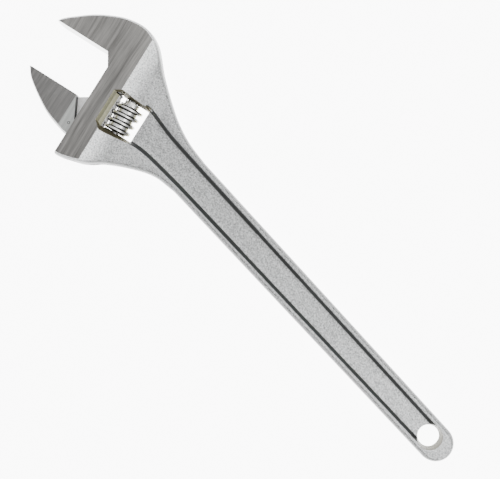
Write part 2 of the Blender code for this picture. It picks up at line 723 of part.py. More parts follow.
def adjusting_knurl(axis):
    """Worm that the thumb turns: one right-handed ridge round a bored core."""
    crest = KNURL_CREST / 2
    root = crest + (KNURL_RADIUS - KNURL_ROOT_RADIUS) * math.tan(KNURL_FLANK)
    shoulder = KNURL_RADIUS - KNURL_CREST_ROUND
    profile = [(-root, KNURL_ROOT_RADIUS), (-crest, shoulder), (-crest / 2, KNURL_RADIUS),
               (crest / 2, KNURL_RADIUS), (crest, shoulder), (root, KNURL_ROOT_RADIUS)]
    half = KNURL_LENGTH / 2
    mesh = helical_mesh('adjusting_knurl', profile, KNURL_PITCH, KNURL_PHASE,
                        -half - 2 * KNURL_PITCH, half + KNURL_PITCH, ROUND_STEPS)
    knurl = new_object('adjusting_knurl', mesh, axis)
    cut(knurl, knurl_blank(axis), 'INTERSECT')
    cut(knurl, knurl_bore_cutter(axis))
    shade(knurl, 30.0)
    knurl.data.materials.append(metal('bright_plated_steel', (0.66, 0.66, 0.65), 0.22))
    return knurl


def knurl_pin(axis):
    """Slotted pin that the knurl turns on."""
    top = WINDOW_TOP_W - PIN_DEPTH - KNURL_MIDDLE
    end = pin_end_w() - PIN_RECESS - KNURL_MIDDLE
    profile = [(PIN_RADIUS - PIN_CHAMFER, top), (PIN_RADIUS, top + PIN_CHAMFER),
               (PIN_RADIUS, end - PIN_CHAMFER), (PIN_RADIUS - PIN_CHAMFER, end)]
    pin = new_object('knurl_pin', turned_mesh('knurl_pin', profile, 24), axis)
    half = PIN_SLOT_WIDTH / 2
    side = PIN_RADIUS * 2
    outline = [(-half, -side), (half, -side), (half, side), (-half, side)]
    slot_mesh = prism_mesh('pin_slot_cutter', outline, end - PIN_SLOT_DEPTH, end + PAST_END)
    cut(pin, new_object('pin_slot_cutter', slot_mesh, axis, helper=True))
    shade(pin)
    pin.data.materials.append(metal('dark_steel', (0.30, 0.30, 0.30), 0.4))
    return pin


def knurl_spring(axis):
    """Coil spring in the knurl's pocket that takes up its end play."""
    half = KNURL_LENGTH / 2
    low = half - SPRING_POCKET_DEPTH + SLIDE_CLEARANCE + SPRING_WIRE / 2
    high = half + WINDOW_END_GAP - SLIDE_CLEARANCE - SPRING_WIRE / 2
    steps = 14
    sides = 6
    wire = SPRING_WIRE / 2
    rings = []
    for i in range(SPRING_TURNS * steps + 1):
        angle = math.tau * i / steps
        height = low + (high - low) * i / (SPRING_TURNS * steps)
        outward = Vector((math.cos(angle), math.sin(angle), 0.0))
        middle = outward * SPRING_RADIUS + Vector((0.0, 0.0, height))
        ring = []
        for k in range(sides):
            turn = math.tau * k / sides
            ring.append(middle + outward * wire * math.cos(turn) + Vector((0.0, 0.0, wire * math.sin(turn))))
        rings.append(ring)
    mesh = mesh_of('knurl_spring', lambda shape: stack_rings(shape, rings))
    spring = new_object('knurl_spring', mesh, axis)
    shade(spring, 70.0)
    spring.data.materials.append(metal('spring_steel', (0.42, 0.41, 0.40), 0.3))
    return spring


# ---------------------------------------------------------------- assembly

def clear_scene():
    """Remove whatever the scene holds."""
    for thing in list(bpy.data.objects):
        bpy.data.objects.remove(thing, do_unlink=True)


def stand_on_origin(root, pieces):
    """Move the frame so that the middle of the wrench's base is the origin."""
    bpy.context.view_layer.update()
    graph = bpy.context.evaluated_depsgraph_get()
    corners = []
    for piece in pieces:
        shown = piece.evaluated_get(graph)
        corners += [shown.matrix_world @ vertex.co for vertex in shown.to_mesh().vertices]
        shown.to_mesh_clear()
    low = [min(corner[k] for corner in corners) for k in range(3)]
    high = [max(corner[k] for corner in corners) for k in range(3)]
    root.location = (-(low[0] + high[0]) / 2, -(low[1] + high[1]) / 2, -low[2])
    bpy.context.view_layer.update()


def main():
    """Build the wrench."""
    clear_scene()
    root = frame_empty('wrench_frame', None, (0.0, 0.0, 0.0))
    head = frame_empty('head_frame', root, (*HEAD_ORIGIN, 0.0), (0.0, 0.0, JAW_ANGLE))
    axis = frame_empty('knurl_axis', head, (KNURL_AXIS_V, -KNURL_MIDDLE, 0.0), (math.pi / 2, 0.0, 0.0))
    pieces = [wrench_body(root, head), movable_jaw(head), adjusting_knurl(axis),
              knurl_pin(axis), knurl_spring(axis)]
    stand_on_origin(root, pieces)


main()
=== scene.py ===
"""Adjustable wrench with a ribbed handle, dressed for a plain studio picture."""

import json
import logging
import math
from dataclasses import dataclass, field
from enum import Enum
from typing import Callable, Sequence

import bpy
import numpy as np
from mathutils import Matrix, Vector

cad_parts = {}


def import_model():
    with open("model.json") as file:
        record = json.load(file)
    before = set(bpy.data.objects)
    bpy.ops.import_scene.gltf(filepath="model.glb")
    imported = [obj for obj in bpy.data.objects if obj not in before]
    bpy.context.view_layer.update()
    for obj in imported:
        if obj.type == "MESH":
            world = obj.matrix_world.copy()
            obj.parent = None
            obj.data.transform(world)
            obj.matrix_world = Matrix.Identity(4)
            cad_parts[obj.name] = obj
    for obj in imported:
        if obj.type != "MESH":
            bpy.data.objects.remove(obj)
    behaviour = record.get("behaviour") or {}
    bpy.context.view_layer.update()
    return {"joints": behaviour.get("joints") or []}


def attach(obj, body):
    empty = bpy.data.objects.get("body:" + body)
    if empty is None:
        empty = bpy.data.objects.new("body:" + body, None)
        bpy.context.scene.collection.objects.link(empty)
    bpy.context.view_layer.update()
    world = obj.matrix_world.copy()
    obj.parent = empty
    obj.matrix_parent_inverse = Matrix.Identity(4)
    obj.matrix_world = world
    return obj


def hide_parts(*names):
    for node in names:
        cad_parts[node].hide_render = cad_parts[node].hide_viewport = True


MM = 0.001
CUT_EDGE = math.radians(30.0)        # edges of cut pieces sharper than this stay sharp
TURNED_EDGE = math.radians(50.0)     # the same for turned ones
MERGE = 2e-6                         # points of a skin closer than this are one
LEVEL = 0.995                        # upward share of the normal of a face that lies level
SLOPED = 0.93                        # below this a face slopes
STEEP = 0.6                          # below this it is a cut wall
UPRIGHT = 0.3                        # below this it stands upright
LOG = logging.getLogger("wrench")
Point = tuple[float, float, float]
Place = Callable[[float, float, float], Vector]
Pairs = Sequence[tuple[float, float]]


class Side(Enum):
    """The two long edges of the forging."""

    BACK = 1
    JAW = -1


class Zone(Enum):
    """Where a surface of the forging lies, which decides its finish."""

    SATIN = 0
    GROUND = 1
    GRIP = 2
    WINDOW_LIT = 3
    WINDOW_SHADED = 4
    HOLE = 5
    BORE = 6
    RECESS_SHADE = 7


# ---------------------------------------------------------------- places and curves

@dataclass(frozen=True)
class Datum:
    """Handle frame and head frame in the world.

    The handle frame has X on the handle's centre line. The head frame is turned by the jaw angle about the
    point where gripping face and guide face meet: v runs towards the handle and w along the jaw's travel.
    """

    head_x: float = 54.2 * MM
    head_y: float = 21.5 * MM
    angle: float = math.radians(15.0)
    knurl_v: float = 29.05 * MM
    knurl_w: float = 35.7 * MM
    knurl_at: Point = (0.0, 0.0, 0.014)

    def handle(self, v: float, w: float) -> Vector:
        """Handle-frame point of a head-frame place."""
        c, s = math.cos(self.angle), math.sin(self.angle)
        return Vector((self.head_x + v * c + w * s, self.head_y + v * s - w * c))

    def head(self, point: Sequence[float]) -> tuple[float, float]:
        """Head-frame v and w of a handle-frame point.

        Args:
            point: The point's X and Y in the handle frame.

        Returns:
            The pair v and w.
        """
        dx, dy = point[0] - self.head_x, point[1] - self.head_y
        c, s = math.cos(self.angle), math.sin(self.angle)
        return dx * c + dy * s, dx * s - dy * c

    @property
    def shift(self) -> Vector:
        """World place of the handle frame's origin."""
        knurl = self.handle(self.knurl_v, self.knurl_w)
        at = Vector(self.knurl_at)
        return Vector((at[0] - knurl[0], at[1] - knurl[1], at[2]))

    def world(self, x: float, y: float, z: float = 0.0) -> Vector:
        """World point of a handle-frame one."""
        return self.shift + Vector((x, y, z))

    def world_head(self, v: float, w: float, z: float = 0.0) -> Vector:
        """World point of a head-frame one."""
        flat = self.handle(v, w)
        return self.world(flat[0], flat[1], z)

    def about_knurl(self, r: float, turn: float, w: float) -> Vector:
        """World point about the knurl's axis, its angle taken from v towards +Z."""
        return self.world_head(self.knurl_v + r * math.cos(turn), w, r * math.sin(turn))

    def facing(self, normal: Sequence[float]) -> tuple[float, float]:
        """How far a normal points along v and along w."""
        c, s = math.cos(self.angle), math.sin(self.angle)
        return normal[0] * c + normal[1] * s, normal[0] * s - normal[1] * c

    def head_of_world(self, point: Sequence[float]) -> tuple[float, float, float]:
        """Head-frame place of a world point.

        Args:
            point: World point.

        Returns:
            The triple v, w and height above the parting line.
        """
        shift = self.shift
        v, w = self.head((point[0] - shift[0], point[1] - shift[1]))
        return v, w, point[2] - shift[2]


def smooth_curve(points: Sequence[Vector], steps: int = 24) -> list[Vector]:
    """Points of a Catmull-Rom curve through the given ones.

    Args:
        points: Points the curve passes through.
        steps: Steps between two of them.

    Returns:
        The curve as a list of points.
    """
    padded = [points[0] * 2 - points[1], *points, points[-1] * 2 - points[-2]]
    curve = []
    for i in range(1, len(padded) - 2):
        p0, p1, p2, p3 = padded[i - 1:i + 3]
        for k in range(steps):
            t = k / steps
            linear = (p2 - p0) * t
            square = (p0 * 2 - p1 * 5 + p2 * 4 - p3) * t ** 2
            cube = (p1 * 3 - p0 - p2 * 3 + p3) * t ** 3
            curve.append((p1 * 2 + linear + square + cube) / 2)
    curve.append(points[-1].copy())
    return curve


def crossing(curve: Sequence[Vector], middle_x: float, tilt: float) -> tuple[Vector, Vector | None]:
    """Where a section line crosses a curve, and the curve's direction there.

    Args:
        curve: Points of the curve.
        middle_x: Where the section line passes through the centre line.
        tilt: How far the section line leans.

    Returns:
        The crossing point and direction. Without a crossing, the nearer end and None.
    """
    flat = np.array([(p[0], p[1]) for p in curve])
    side = (flat[:, 0] - middle_x) * math.cos(tilt) + flat[:, 1] * math.sin(tilt)
    hits = np.nonzero((side[:-1] <= 0) & (side[1:] > 0))[0]
    if len(hits):
        i = int(hits[0])
        t = float(side[i] / (side[i] - side[i + 1]))
        before = curve[i + 1] - curve[max(i - 1, 0)]
        after = curve[min(i + 2, len(curve) - 1)] - curve[i]
        way = before.normalized().lerp(after.normalized(), t)
        return curve[i].lerp(curve[i + 1], t), way.normalized()
    return (curve[0] if abs(side[0]) < abs(side[-1]) else curve[-1]), None


def ease(t: float) -> float:
    """Smooth step from 0 to 1."""
    t = min(max(t, 0.0), 1.0)
    return t * t * (3 - 2 * t)


# ---------------------------------------------------------------- workshop

class Bench:
    """Shaping steps shared by all the pieces."""

    @staticmethod
    def clear() -> None:
        """Deselect everything."""
        bpy.ops.object.select_all(action="DESELECT")

    @staticmethod
    def pick(piece: bpy.types.Object) -> None:
        """Make the piece the only selected and the active one.

        Args:
            piece: The piece to work on.
        """
        Bench.clear()
        piece.select_set(True)
        bpy.context.view_layer.objects.active = piece

    @staticmethod
    def surface(name: str, rows: np.ndarray, caps: bool = True) -> bpy.types.Object:
        """Grid primitive laid over rows of points, with its seams merged and its ends closed.

        Args:
            name: Name of the piece.
            rows: Points as an array of rows, columns and 3 coordinates.
            caps: Whether open ends are filled.

        Returns:
            The piece.
        """
        count, width = rows.shape[:2]
        Bench.clear()
        bpy.ops.mesh.primitive_grid_add(x_subdivisions=width - 1, y_subdivisions=count - 1, size=1.0)
        piece = bpy.context.object
        piece.name = name
        piece.data.name = name
        piece.data.vertices.foreach_set("co", np.ascontiguousarray(rows, np.float32).reshape(-1))
        piece.data.update()
        bpy.ops.object.mode_set(mode="EDIT")
        bpy.ops.mesh.select_all(action="SELECT")
        bpy.ops.mesh.remove_doubles(threshold=MERGE)
        if caps:
            bpy.ops.mesh.select_all(action="SELECT")
            bpy.ops.mesh.fill_holes(sides=0)
        bpy.ops.mesh.select_all(action="SELECT")
        bpy.ops.mesh.normals_make_consistent(inside=False)
        bpy.ops.object.mode_set(mode="OBJECT")
        return piece

    @staticmethod
    def loft(name: str, rings: Sequence[Sequence[Sequence[float]]]) -> bpy.types.Object:
        """Closed skin over rings of points."""
        rows = np.array([[tuple(p) for p in ring] + [tuple(ring[0])] for ring in rings], float)
        return Bench.surface(name, rows)

    @staticmethod
    def turned(name: str, profile: Pairs, place: Place, steps: int = 96) -> bpy.types.Object:
        """Piece turned round an axis.

        Args:
            name: Name of the piece.
            profile: Radius and height pairs along the axis.
            place: Gives the world point of two cross-axis distances and a height.
            steps: Steps round the axis.

        Returns:
            The piece.
        """
        rings = []
        for radius, height in profile:
            ring = []
            for k in range(steps):
                turn = math.tau * (k + 0.5) / steps
                ring.append(place(radius * math.cos(turn), radius * math.sin(turn), height))
            rings.append(ring)
        return Bench.loft(name, rings)

    @staticmethod
    def combine(piece: bpy.types.Object, tool: bpy.types.Object, operation: str = "DIFFERENCE") -> None:
        """Boolean step, applied at once. The tool is used up.

        Args:
            piece: The piece that is changed.
            tool: The form that is cut away or joined.
            operation: DIFFERENCE, UNION or INTERSECT.
        """
        Bench.pick(piece)
        step = piece.modifiers.new(tool.name, "BOOLEAN")
        step.operation = operation
        step.solver = "EXACT"
        step.object = tool
        bpy.ops.object.modifier_apply(modifier=step.name)
        bpy.data.objects.remove(tool, do_unlink=True)

    @staticmethod
    def finish(piece: bpy.types.Object, angle: float) -> None:
        """Shade smooth, apart from edges sharper than the angle."""
        Bench.pick(piece)
        bpy.ops.object.shade_smooth_by_angle(angle=angle)

    @staticmethod
    def dress(piece: bpy.types.Object, materials: Sequence[bpy.types.Material],
              choose: Callable[[Vector, Vector], int]) -> None:
        """Give each face one of the materials.

        Args:
            piece: The piece.
            materials: The materials, in slot order.
            choose: Gives the slot for a face's middle and normal.
        """
        piece.data.materials.clear()
        for material in materials:
            piece.data.materials.append(material)
        for face in piece.data.polygons:
            face.material_index = choose(face.center, face.normal)


# ---------------------------------------------------------------- finishes

class Nodes:
    """Short hand for building a material's node tree."""

    def __init__(self, name: str) -> None:
        """Start an empty material.

        Args:
            name: Name of the material.
        """
        self.material = bpy.data.materials.new(name)
        self.material.use_nodes = True
        self.tree = self.material.node_tree
        self.shader = self.tree.nodes["Principled BSDF"]

    def add(self, kind: str, **settings: object) -> bpy.types.Node:
        """New node.

        Args:
            kind: Type of node, without its prefix.
            **settings: Properties to set on it.

        Returns:
            The node.
        """
        node = self.tree.nodes.new("ShaderNode" + kind)
        for key, value in settings.items():
            setattr(node, key, value)
        return node

    def link(self, source: bpy.types.NodeSocket, target: bpy.types.NodeSocket) -> None:
        """Join two sockets."""
        self.tree.links.new(source, target)

    def noise(self, vector: bpy.types.NodeSocket, scale: float, detail: float = 3.0,
              rough: float = 0.5) -> bpy.types.NodeSocket:
        """Noise over a vector.

        Args:
            vector: Where the noise is looked up.
            scale: Scale of the noise.
            detail: Number of finer layers.
            rough: Weight of the finer layers.

        Returns:
            The noise value.
        """
        node = self.add("TexNoise")
        node.inputs["Scale"].default_value = scale
        node.inputs["Detail"].default_value = detail
        node.inputs["Roughness"].default_value = rough
        self.link(vector, node.inputs["Vector"])
        return node.outputs["Fac"]

    def spread(self, value: bpy.types.NodeSocket, low: float, high: float,
               start: float = 0.3, end: float = 0.7) -> bpy.types.NodeSocket:
        """Map a value onto another range.

        Args:
            value: The value.
            low: Result at the start.
            high: Result at the end.
            start: Value that gives low.
            end: Value that gives high.

        Returns:
            The mapped value.
        """
        node = self.add("MapRange")
        node.inputs["From Min"].default_value = start
        node.inputs["From Max"].default_value = end
        node.inputs["To Min"].default_value = low
        node.inputs["To Max"].default_value = high
        self.link(value, node.inputs["Value"])
        return node.outputs["Result"]

    def times(self, first: bpy.types.NodeSocket, second: bpy.types.NodeSocket) -> bpy.types.NodeSocket:
        """Product of two values."""
        node = self.add("Math", operation="MULTIPLY")
        self.link(first, node.inputs[0])
        self.link(second, node.inputs[1])
        return node.outputs[0]

    def tint(self, colour: Sequence[float], factor: bpy.types.NodeSocket) -> bpy.types.NodeSocket:
        """Colour made lighter or darker by a factor.

        Args:
            colour: Red, green and blue.
            factor: What the colour is multiplied by.

        Returns:
            The colour.
        """
        node = self.add("VectorMath", operation="SCALE")
        node.inputs[0].default_value = tuple(colour)
        self.link(factor, node.inputs["Scale"])
        return node.outputs["Vector"]


    def plate(self, colour: Sequence[float], shade: bpy.types.NodeSocket, rough: bpy.types.NodeSocket,
              metallic: float = 1.0) -> None:
        """Give the shader its colour, roughness and metallic share.

        Args:
            colour: Red, green and blue.
            shade: What the colour is multiplied by.
            rough: The roughness.
            metallic: The metallic share.
        """
        self.link(self.tint(colour, shade), self.shader.inputs["Base Color"])
        self.link(rough, self.shader.inputs["Roughness"])
        self.shader.inputs["Metallic"].default_value = metallic

    def emboss(self, height: bpy.types.NodeSocket, strength: float, distance: float) -> None:
        """Raise the surface's look by a height.

        Args:
            height: The height.
            strength: Strength of the bump.
            distance: What a height of 1 stands for.
        """
        bump = self.add("Bump")
        bump.inputs["Strength"].default_value = strength
        bump.inputs["Distance"].default_value = distance
        self.link(height, bump.inputs["Height"])
        self.link(bump.outputs["Normal"], self.shader.inputs["Normal"])

    def split(self, vector: bpy.types.NodeSocket, axis: str) -> bpy.types.NodeSocket:
        """One coordinate of a vector."""
        node = self.add("SeparateXYZ")
        self.link(vector, node.inputs[0])
        return node.outputs[axis]

    def turned(self, vector: bpy.types.NodeSocket, kind: str, turn: float,
               origin: Point = (0.0, 0.0, 0.0)) -> bpy.types.NodeSocket:
        """Vector turned about Z.

        Args:
            vector: The vector.
            kind: Kind of mapping.
            turn: Its angle.
            origin: Its location.

        Returns:
            The turned vector.
        """
        node = self.add("Mapping", vector_type=kind)
        node.inputs["Location"].default_value = origin
        node.inputs["Rotation"].default_value = (0.0, 0.0, turn)
        self.link(vector, node.inputs["Vector"])
        return node.outputs["Vector"]


@dataclass(frozen=True)
class ForgedFinish:
    """Plated metal over a shot-blasted forging, with optional painted shade on steep faces and painted light
    towards the head.
    """

    name: str
    colour: tuple[float, float, float]
    roughness: float
    grain: float = 700.0
    grain_depth: float = 0.00006
    contrast: float = 0.10
    metallic: float = 1.0
    # painted shade: colour factor that steep faces fall to
    side_shade: float = 1.0
    # painted light: origin, turn and start of a brightening of the colour towards the head, where the neck's
    # slope faces the light
    painted_neck_light: tuple[Point, float, float] | None = None

    def material(self) -> bpy.types.Material:
        """Build the material.

        Returns:
            The material.
        """
        n = Nodes(self.name)
        place = n.add("TexCoord").outputs["Object"]
        fine = n.noise(place, self.grain, 2.0, 0.6)
        broad = n.noise(place, self.grain * 0.04, 3.0)
        shade = n.times(n.spread(fine, 1.0 - self.contrast, 1.0 + self.contrast),
                        n.spread(broad, 0.96, 1.04))
        # painted shade: faces are darkened as they turn steep, down to this factor times the colour
        if self.side_shade != 1.0:
            steep = n.add("Math", operation="ABSOLUTE")
            n.link(n.split(n.add("NewGeometry").outputs["Normal"], "Z"), steep.inputs[0])
            shade = n.times(shade, n.spread(steep.outputs[0], self.side_shade, 1.0, 0.60, 0.97))
        # painted light: 2.1 times brighter up to start, fading to plain over 13 mm towards the handle, where
        # the neck's slope faces the light
        if self.painted_neck_light:
            origin, turn, start = self.painted_neck_light
            behind = n.split(n.turned(place, "TEXTURE", turn, origin), "X")
            shade = n.times(shade, n.spread(behind, 2.1, 1.0, start, start + 0.013))
        rough = n.spread(broad, self.roughness - 0.04, self.roughness + 0.04)
        n.plate(self.colour, shade, rough, self.metallic)
        n.emboss(fine, 0.6, self.grain_depth)
        return n.material


@dataclass(frozen=True)
class GroundFinish:
    """Bare metal with long grinding marks."""

    name: str
    colour: tuple[float, float, float]
    roughness: float
    turn: float
    fine: float = 2600.0
    coarse: float = 420.0
    contrast: float = 0.16
    depth: float = 0.00002

    def material(self) -> bpy.types.Material:
        """Build the material.

        Returns:
            The material.
        """
        n = Nodes(self.name)
        place = n.add("TexCoord").outputs["Object"]
        turned = n.turned(place, "POINT", -self.turn)
        lean = n.add("Math", operation="MULTIPLY_ADD")
        n.link(n.noise(turned, 14.0, 1.0), lean.inputs[0])
        lean.inputs[1].default_value = 0.006
        n.link(n.split(turned, "X"), lean.inputs[2])
        streak = []
        for scale in (self.fine, self.coarse):
            join = n.add("CombineXYZ")
            sources = ((lean.outputs[0], scale, "X"), (n.split(turned, "Y"), scale * 0.022, "Y"))
            for source, factor, axis in sources:
                stretch = n.add("Math", operation="MULTIPLY")
                n.link(source, stretch.inputs[0])
                stretch.inputs[1].default_value = factor
                n.link(stretch.outputs[0], join.inputs[axis])
            streak.append(n.noise(join.outputs[0], 1.0, 2.0))
        patches = n.noise(place, 38.0, 2.0)
        shade = n.times(n.spread(streak[0], 1.0 - self.contrast * 0.7, 1.0 + self.contrast * 0.7),
                        n.spread(streak[1], 1.0 - self.contrast, 1.0 + self.contrast))
        shade = n.times(shade, n.spread(patches, 0.93, 1.07))
        n.plate(self.colour, shade, n.spread(streak[1], self.roughness - 0.05, self.roughness + 0.07))
        n.emboss(streak[0], 0.5, self.depth)
        return n.material


@dataclass(frozen=True)
class FloorFinish:
    """Matt pale ground."""

    name: str = "studio_floor"
    colour: tuple[float, float, float] = (0.9, 0.9, 0.9)
    glow: float = 9.0

    def material(self) -> bpy.types.Material:
        """Build the material.

        Returns:
            The material.
        """
        n = Nodes(self.name)
        place = n.add("TexCoord").outputs["Object"]
        shade = n.spread(n.noise(place, 3.0, 2.0), 0.995, 1.005)
        n.link(n.tint(self.colour, shade), n.shader.inputs["Base Color"])
        n.shader.inputs["Roughness"].default_value = 0.9
        n.shader.inputs["Specular IOR Level"].default_value = 0.1
        n.shader.inputs["Emission Color"].default_value = (1.0, 1.0, 1.0, 1.0)
        n.shader.inputs["Emission Strength"].default_value = self.glow
        return n.material


# ---------------------------------------------------------------- forging

@dataclass
class Forging:
    """Fixed jaw, head and ribbed handle, forged in one piece."""

    datum: Datum
    length: float = 455.0 * MM
    half: float = 14.0 * MM
    reach: float = 52.6 * MM
    throat_face: float = 6.1 * MM
    throat_guide: float = 10.0 * MM
    head_draft: float = 2.7 * MM
    handle_start: float = 160.0 * MM
    handle_half: float = 16.3 * MM
    tail_radius: float = 14.3 * MM
    thick_start: float = 8.3 * MM
    thick_end: float = 6.8 * MM
    rib_draft: float = 3.0 * MM
    web_half: float = 4.2 * MM
    rib_width: float = 6.0 * MM
    wall_run: float = 3.2 * MM
    ground_reach: float = 19.5 * MM
    neck_reach: float = 75.0 * MM
    hole_to_tail: float = 22.0 * MM
    hole_radius: float = 8.3 * MM
    draft: float = math.radians(15.0)
    bore_v: float = 11.55 * MM
    bore_radius: float = 8.8 * MM
    bore_above: float = 18.7 * MM
    slot_half: float = 5.05 * MM
    key_above: float = 4.9 * MM
    web_root: float = 9.1 * MM
    window: tuple[float, float, float, float] = (17.25 * MM, 43.85 * MM, 22.1 * MM, 49.3 * MM)
    flare_fixed: float = 3.4 * MM
    flare_outer: float = 5.0 * MM
    pin_bore: float = 3.3 * MM
    edge_steps: int = 10
    wall_steps: int = 8
    handle_steps: int = 30
    turn_steps: int = 9
    tail_steps: int = 32
    tail_turn: float = math.radians(89.0)
    head_pitch: float = 1.6 * MM
    handle_pitch: float = 4.0 * MM
    guide_fill: float = 9.0 * MM
    guide_from: float = -1.8 * MM
    clear_of_all: float = 120 * MM
    clear_height: float = 40 * MM
    slot_clearance: float = 0.6 * MM
    pin_recess: float = 9.3 * MM
    tip_shares: tuple[float, ...] = (-0.004, 0.0, 0.006, 0.014, 0.026, 0.042, 0.062, 0.09, 0.12, 0.16, 0.22,
                                     0.32, 0.43, 0.55, 0.67, 0.79, 0.9, 0.965)
    curves: dict[str, list[Vector]] = field(default_factory=dict)

    @property
    def tail_centre(self) -> float:
        """Centre of the tail's round end."""
        return self.length - self.tail_radius

    @property
    def hole_x(self) -> float:
        """Centre of the hanging hole."""
        return self.length - self.hole_to_tail

    def middle(self, v: float) -> float:
        """Where the section line at a head-frame v meets the centre line."""
        d = self.datum
        return (d.head_x * math.cos(d.angle) + d.head_y * math.sin(d.angle) + v) / math.cos(d.angle)

    def handle_edge(self, side: Side, start: float, end: float) -> list[Vector]:
        """Points along one straight edge of the handle.

        Args:
            side: Which edge.
            start: Half width where the handle starts.
            end: Half width where the tail starts to turn.

        Returns:
            The points.
        """
        points = []
        for k in range(self.handle_steps + 1):
            t = k / self.handle_steps
            x = self.handle_start + (self.tail_centre - self.handle_start) * t
            points.append(Vector((x, side.value * (start + (end - start) * t))))
        return points

    def tail_arc(self, side: Side) -> list[Vector]:
        """Points round one half of the tail.

        Args:
            side: Which half.

        Returns:
            The points, without the first.
        """
        points = []
        for k in range(1, self.tail_steps + 1):
            turn = self.tail_turn * k / self.tail_steps
            x = self.tail_centre + self.tail_radius * math.sin(turn)
            points.append(Vector((x, side.value * self.tail_radius * math.cos(turn))))
        return points

    def outline(self, side: Side) -> list[Vector]:
        """One edge of the forging, from jaw to tail.

        Args:
            side: Which edge.

        Returns:
            The points of the edge.
        """
        at = self.datum.handle
        if side is Side.BACK:
            head = [at(-self.reach - 0.3 * MM, 4.0 * MM), at(-self.reach, -0.6 * MM),
                    at(-self.reach + 3.6 * MM, -5.4 * MM), at(-self.reach + 10.7 * MM, -11.4 * MM),
                    at(-31.8 * MM, -19.2 * MM), at(-20.5 * MM, -25.6 * MM), at(-7.0 * MM, -30.8 * MM),
                    at(9.0 * MM, -31.9 * MM), at(23.1 * MM, -25.3 * MM), at(38.8 * MM, -8.3 * MM),
                    at(54.8 * MM, 6.4 * MM), Vector((124.5 * MM, 22.7 * MM)),
                    Vector((141.0 * MM, 18.3 * MM))]
        else:
            head = [at(-3.3 * MM, 88.35 * MM), at(5.0 * MM, 88.1 * MM), at(18.2 * MM, 84.5 * MM),
                    at(27.4 * MM, 80.3 * MM), at(36.6 * MM, 74.2 * MM), Vector((124.5 * MM, -28.7 * MM)),
                    Vector((141.0 * MM, -19.7 * MM))]
        start = Vector((self.handle_start, side.value * self.handle_half))
        return (smooth_curve(head + [start])[:-1]
                + self.handle_edge(side, self.handle_half, self.tail_radius)
                + self.tail_arc(side))

    def wall(self, side: Side) -> list[Vector]:
        """Middle of one wall of the recess, from the window to the hanging hole.

        Args:
            side: Which wall.

        Returns:
            The points of the wall.
        """
        at = self.datum.handle
        corner_v = self.window[1] - 6.0 * MM
        if side is Side.BACK:
            bends = [at(corner_v, self.window[2] - 2.6 * MM),
                     at(corner_v + 8.0 * MM, self.window[2] - 1.5 * MM),
                     Vector((128.0 * MM, 11.0 * MM))]
        else:
            bends = [at(corner_v, self.window[3] + 3.2 * MM),
                     at(corner_v + 7.0 * MM, self.window[3] + 0.4 * MM),
                     Vector((126.0 * MM, -11.8 * MM))]
        near, far = self.handle_half - self.rib_width, self.tail_radius - self.rib_width
        start = Vector((self.handle_start, side.value * near))
        return smooth_curve(bends + [start])[:-1] + self.handle_edge(side, near, far)

    def thickness(self, middle_x: float) -> float:
        """Half the thickness at a section.

        Args:
            middle_x: Where the section line meets the centre line.

        Returns:
            Half the thickness there.
        """
        ground_end = self.middle(self.ground_reach)
        neck_end = self.middle(self.neck_reach)
        if middle_x <= ground_end:
            return self.half
        if middle_x <= neck_end:
            left = (neck_end - middle_x) / (neck_end - ground_end)
            return self.thick_start + (self.half - self.thick_start) * left ** 2
        along = (middle_x - neck_end) / (self.length - neck_end)
        return self.thick_start + (self.thick_end - self.thick_start) * along

    def stations(self) -> list[tuple[float, float, bool]]:
        """Section lines from tip to tail.

        Returns:
            Centre-line place, lean and whether the recess is open, for each section.
        """
        lean = self.datum.angle
        window_end = self.window[1]
        closed = [-self.reach * (1 - share) for share in self.tip_shares]
        closed += [-1.5 * MM, 2.0 * MM, self.ground_reach, window_end - 4.0 * MM]
        keys = [(self.middle(v), lean, False) for v in closed]
        keys.append((self.middle(window_end - 1.2 * MM), lean, True))
        turn_start = self.middle(window_end + 4.0 * MM)
        for k in range(self.turn_steps + 1):
            t = k / self.turn_steps
            keys.append((turn_start + (self.handle_start - turn_start) * t, lean * (1 - t), True))
        keys.append((self.hole_x - self.hole_radius * 0.35, 0.0, True))
        keys.append((self.hole_x + self.hole_radius * 0.15, 0.0, False))
        lines: list[tuple[float, float, bool]] = []
        for near, far in zip(keys, keys[1:]):
            pitch = self.head_pitch if near[0] < self.handle_start else self.handle_pitch
            parts = max(1, round((far[0] - near[0]) / pitch)) if near[2] == far[2] else 1
            for k in range(parts):
                t = k / parts
                lines.append((near[0] + (far[0] - near[0]) * t, near[1] + (far[1] - near[1]) * t, near[2]))
        lines.append(keys[-1])
        for point in self.tail_arc(Side.BACK)[:-1]:
            if point[0] > keys[-1][0] + 0.2 * MM:
                lines.append((point[0], 0.0, False))
        return lines

    def levels(self, head_share: float) -> list[tuple[float, float]]:
        """Inset and rise shares up one edge, full and drafted at the head and rounded along the handle.

        Args:
            head_share: 1 at the head, 0 along the handle.

        Returns:
            The pairs from the parting line to the top.
        """
        pairs = []
        for k in range(self.edge_steps + 1):
            rise = math.sin(math.pi / 2 * k / self.edge_steps)
            drafted = 0.4 * rise + 0.6 * rise ** 8
            rounded = 1.0 - math.sqrt(max(0.0, 1.0 - rise * rise))
            pairs.append((drafted * head_share + rounded * (1 - head_share), rise))
        return pairs

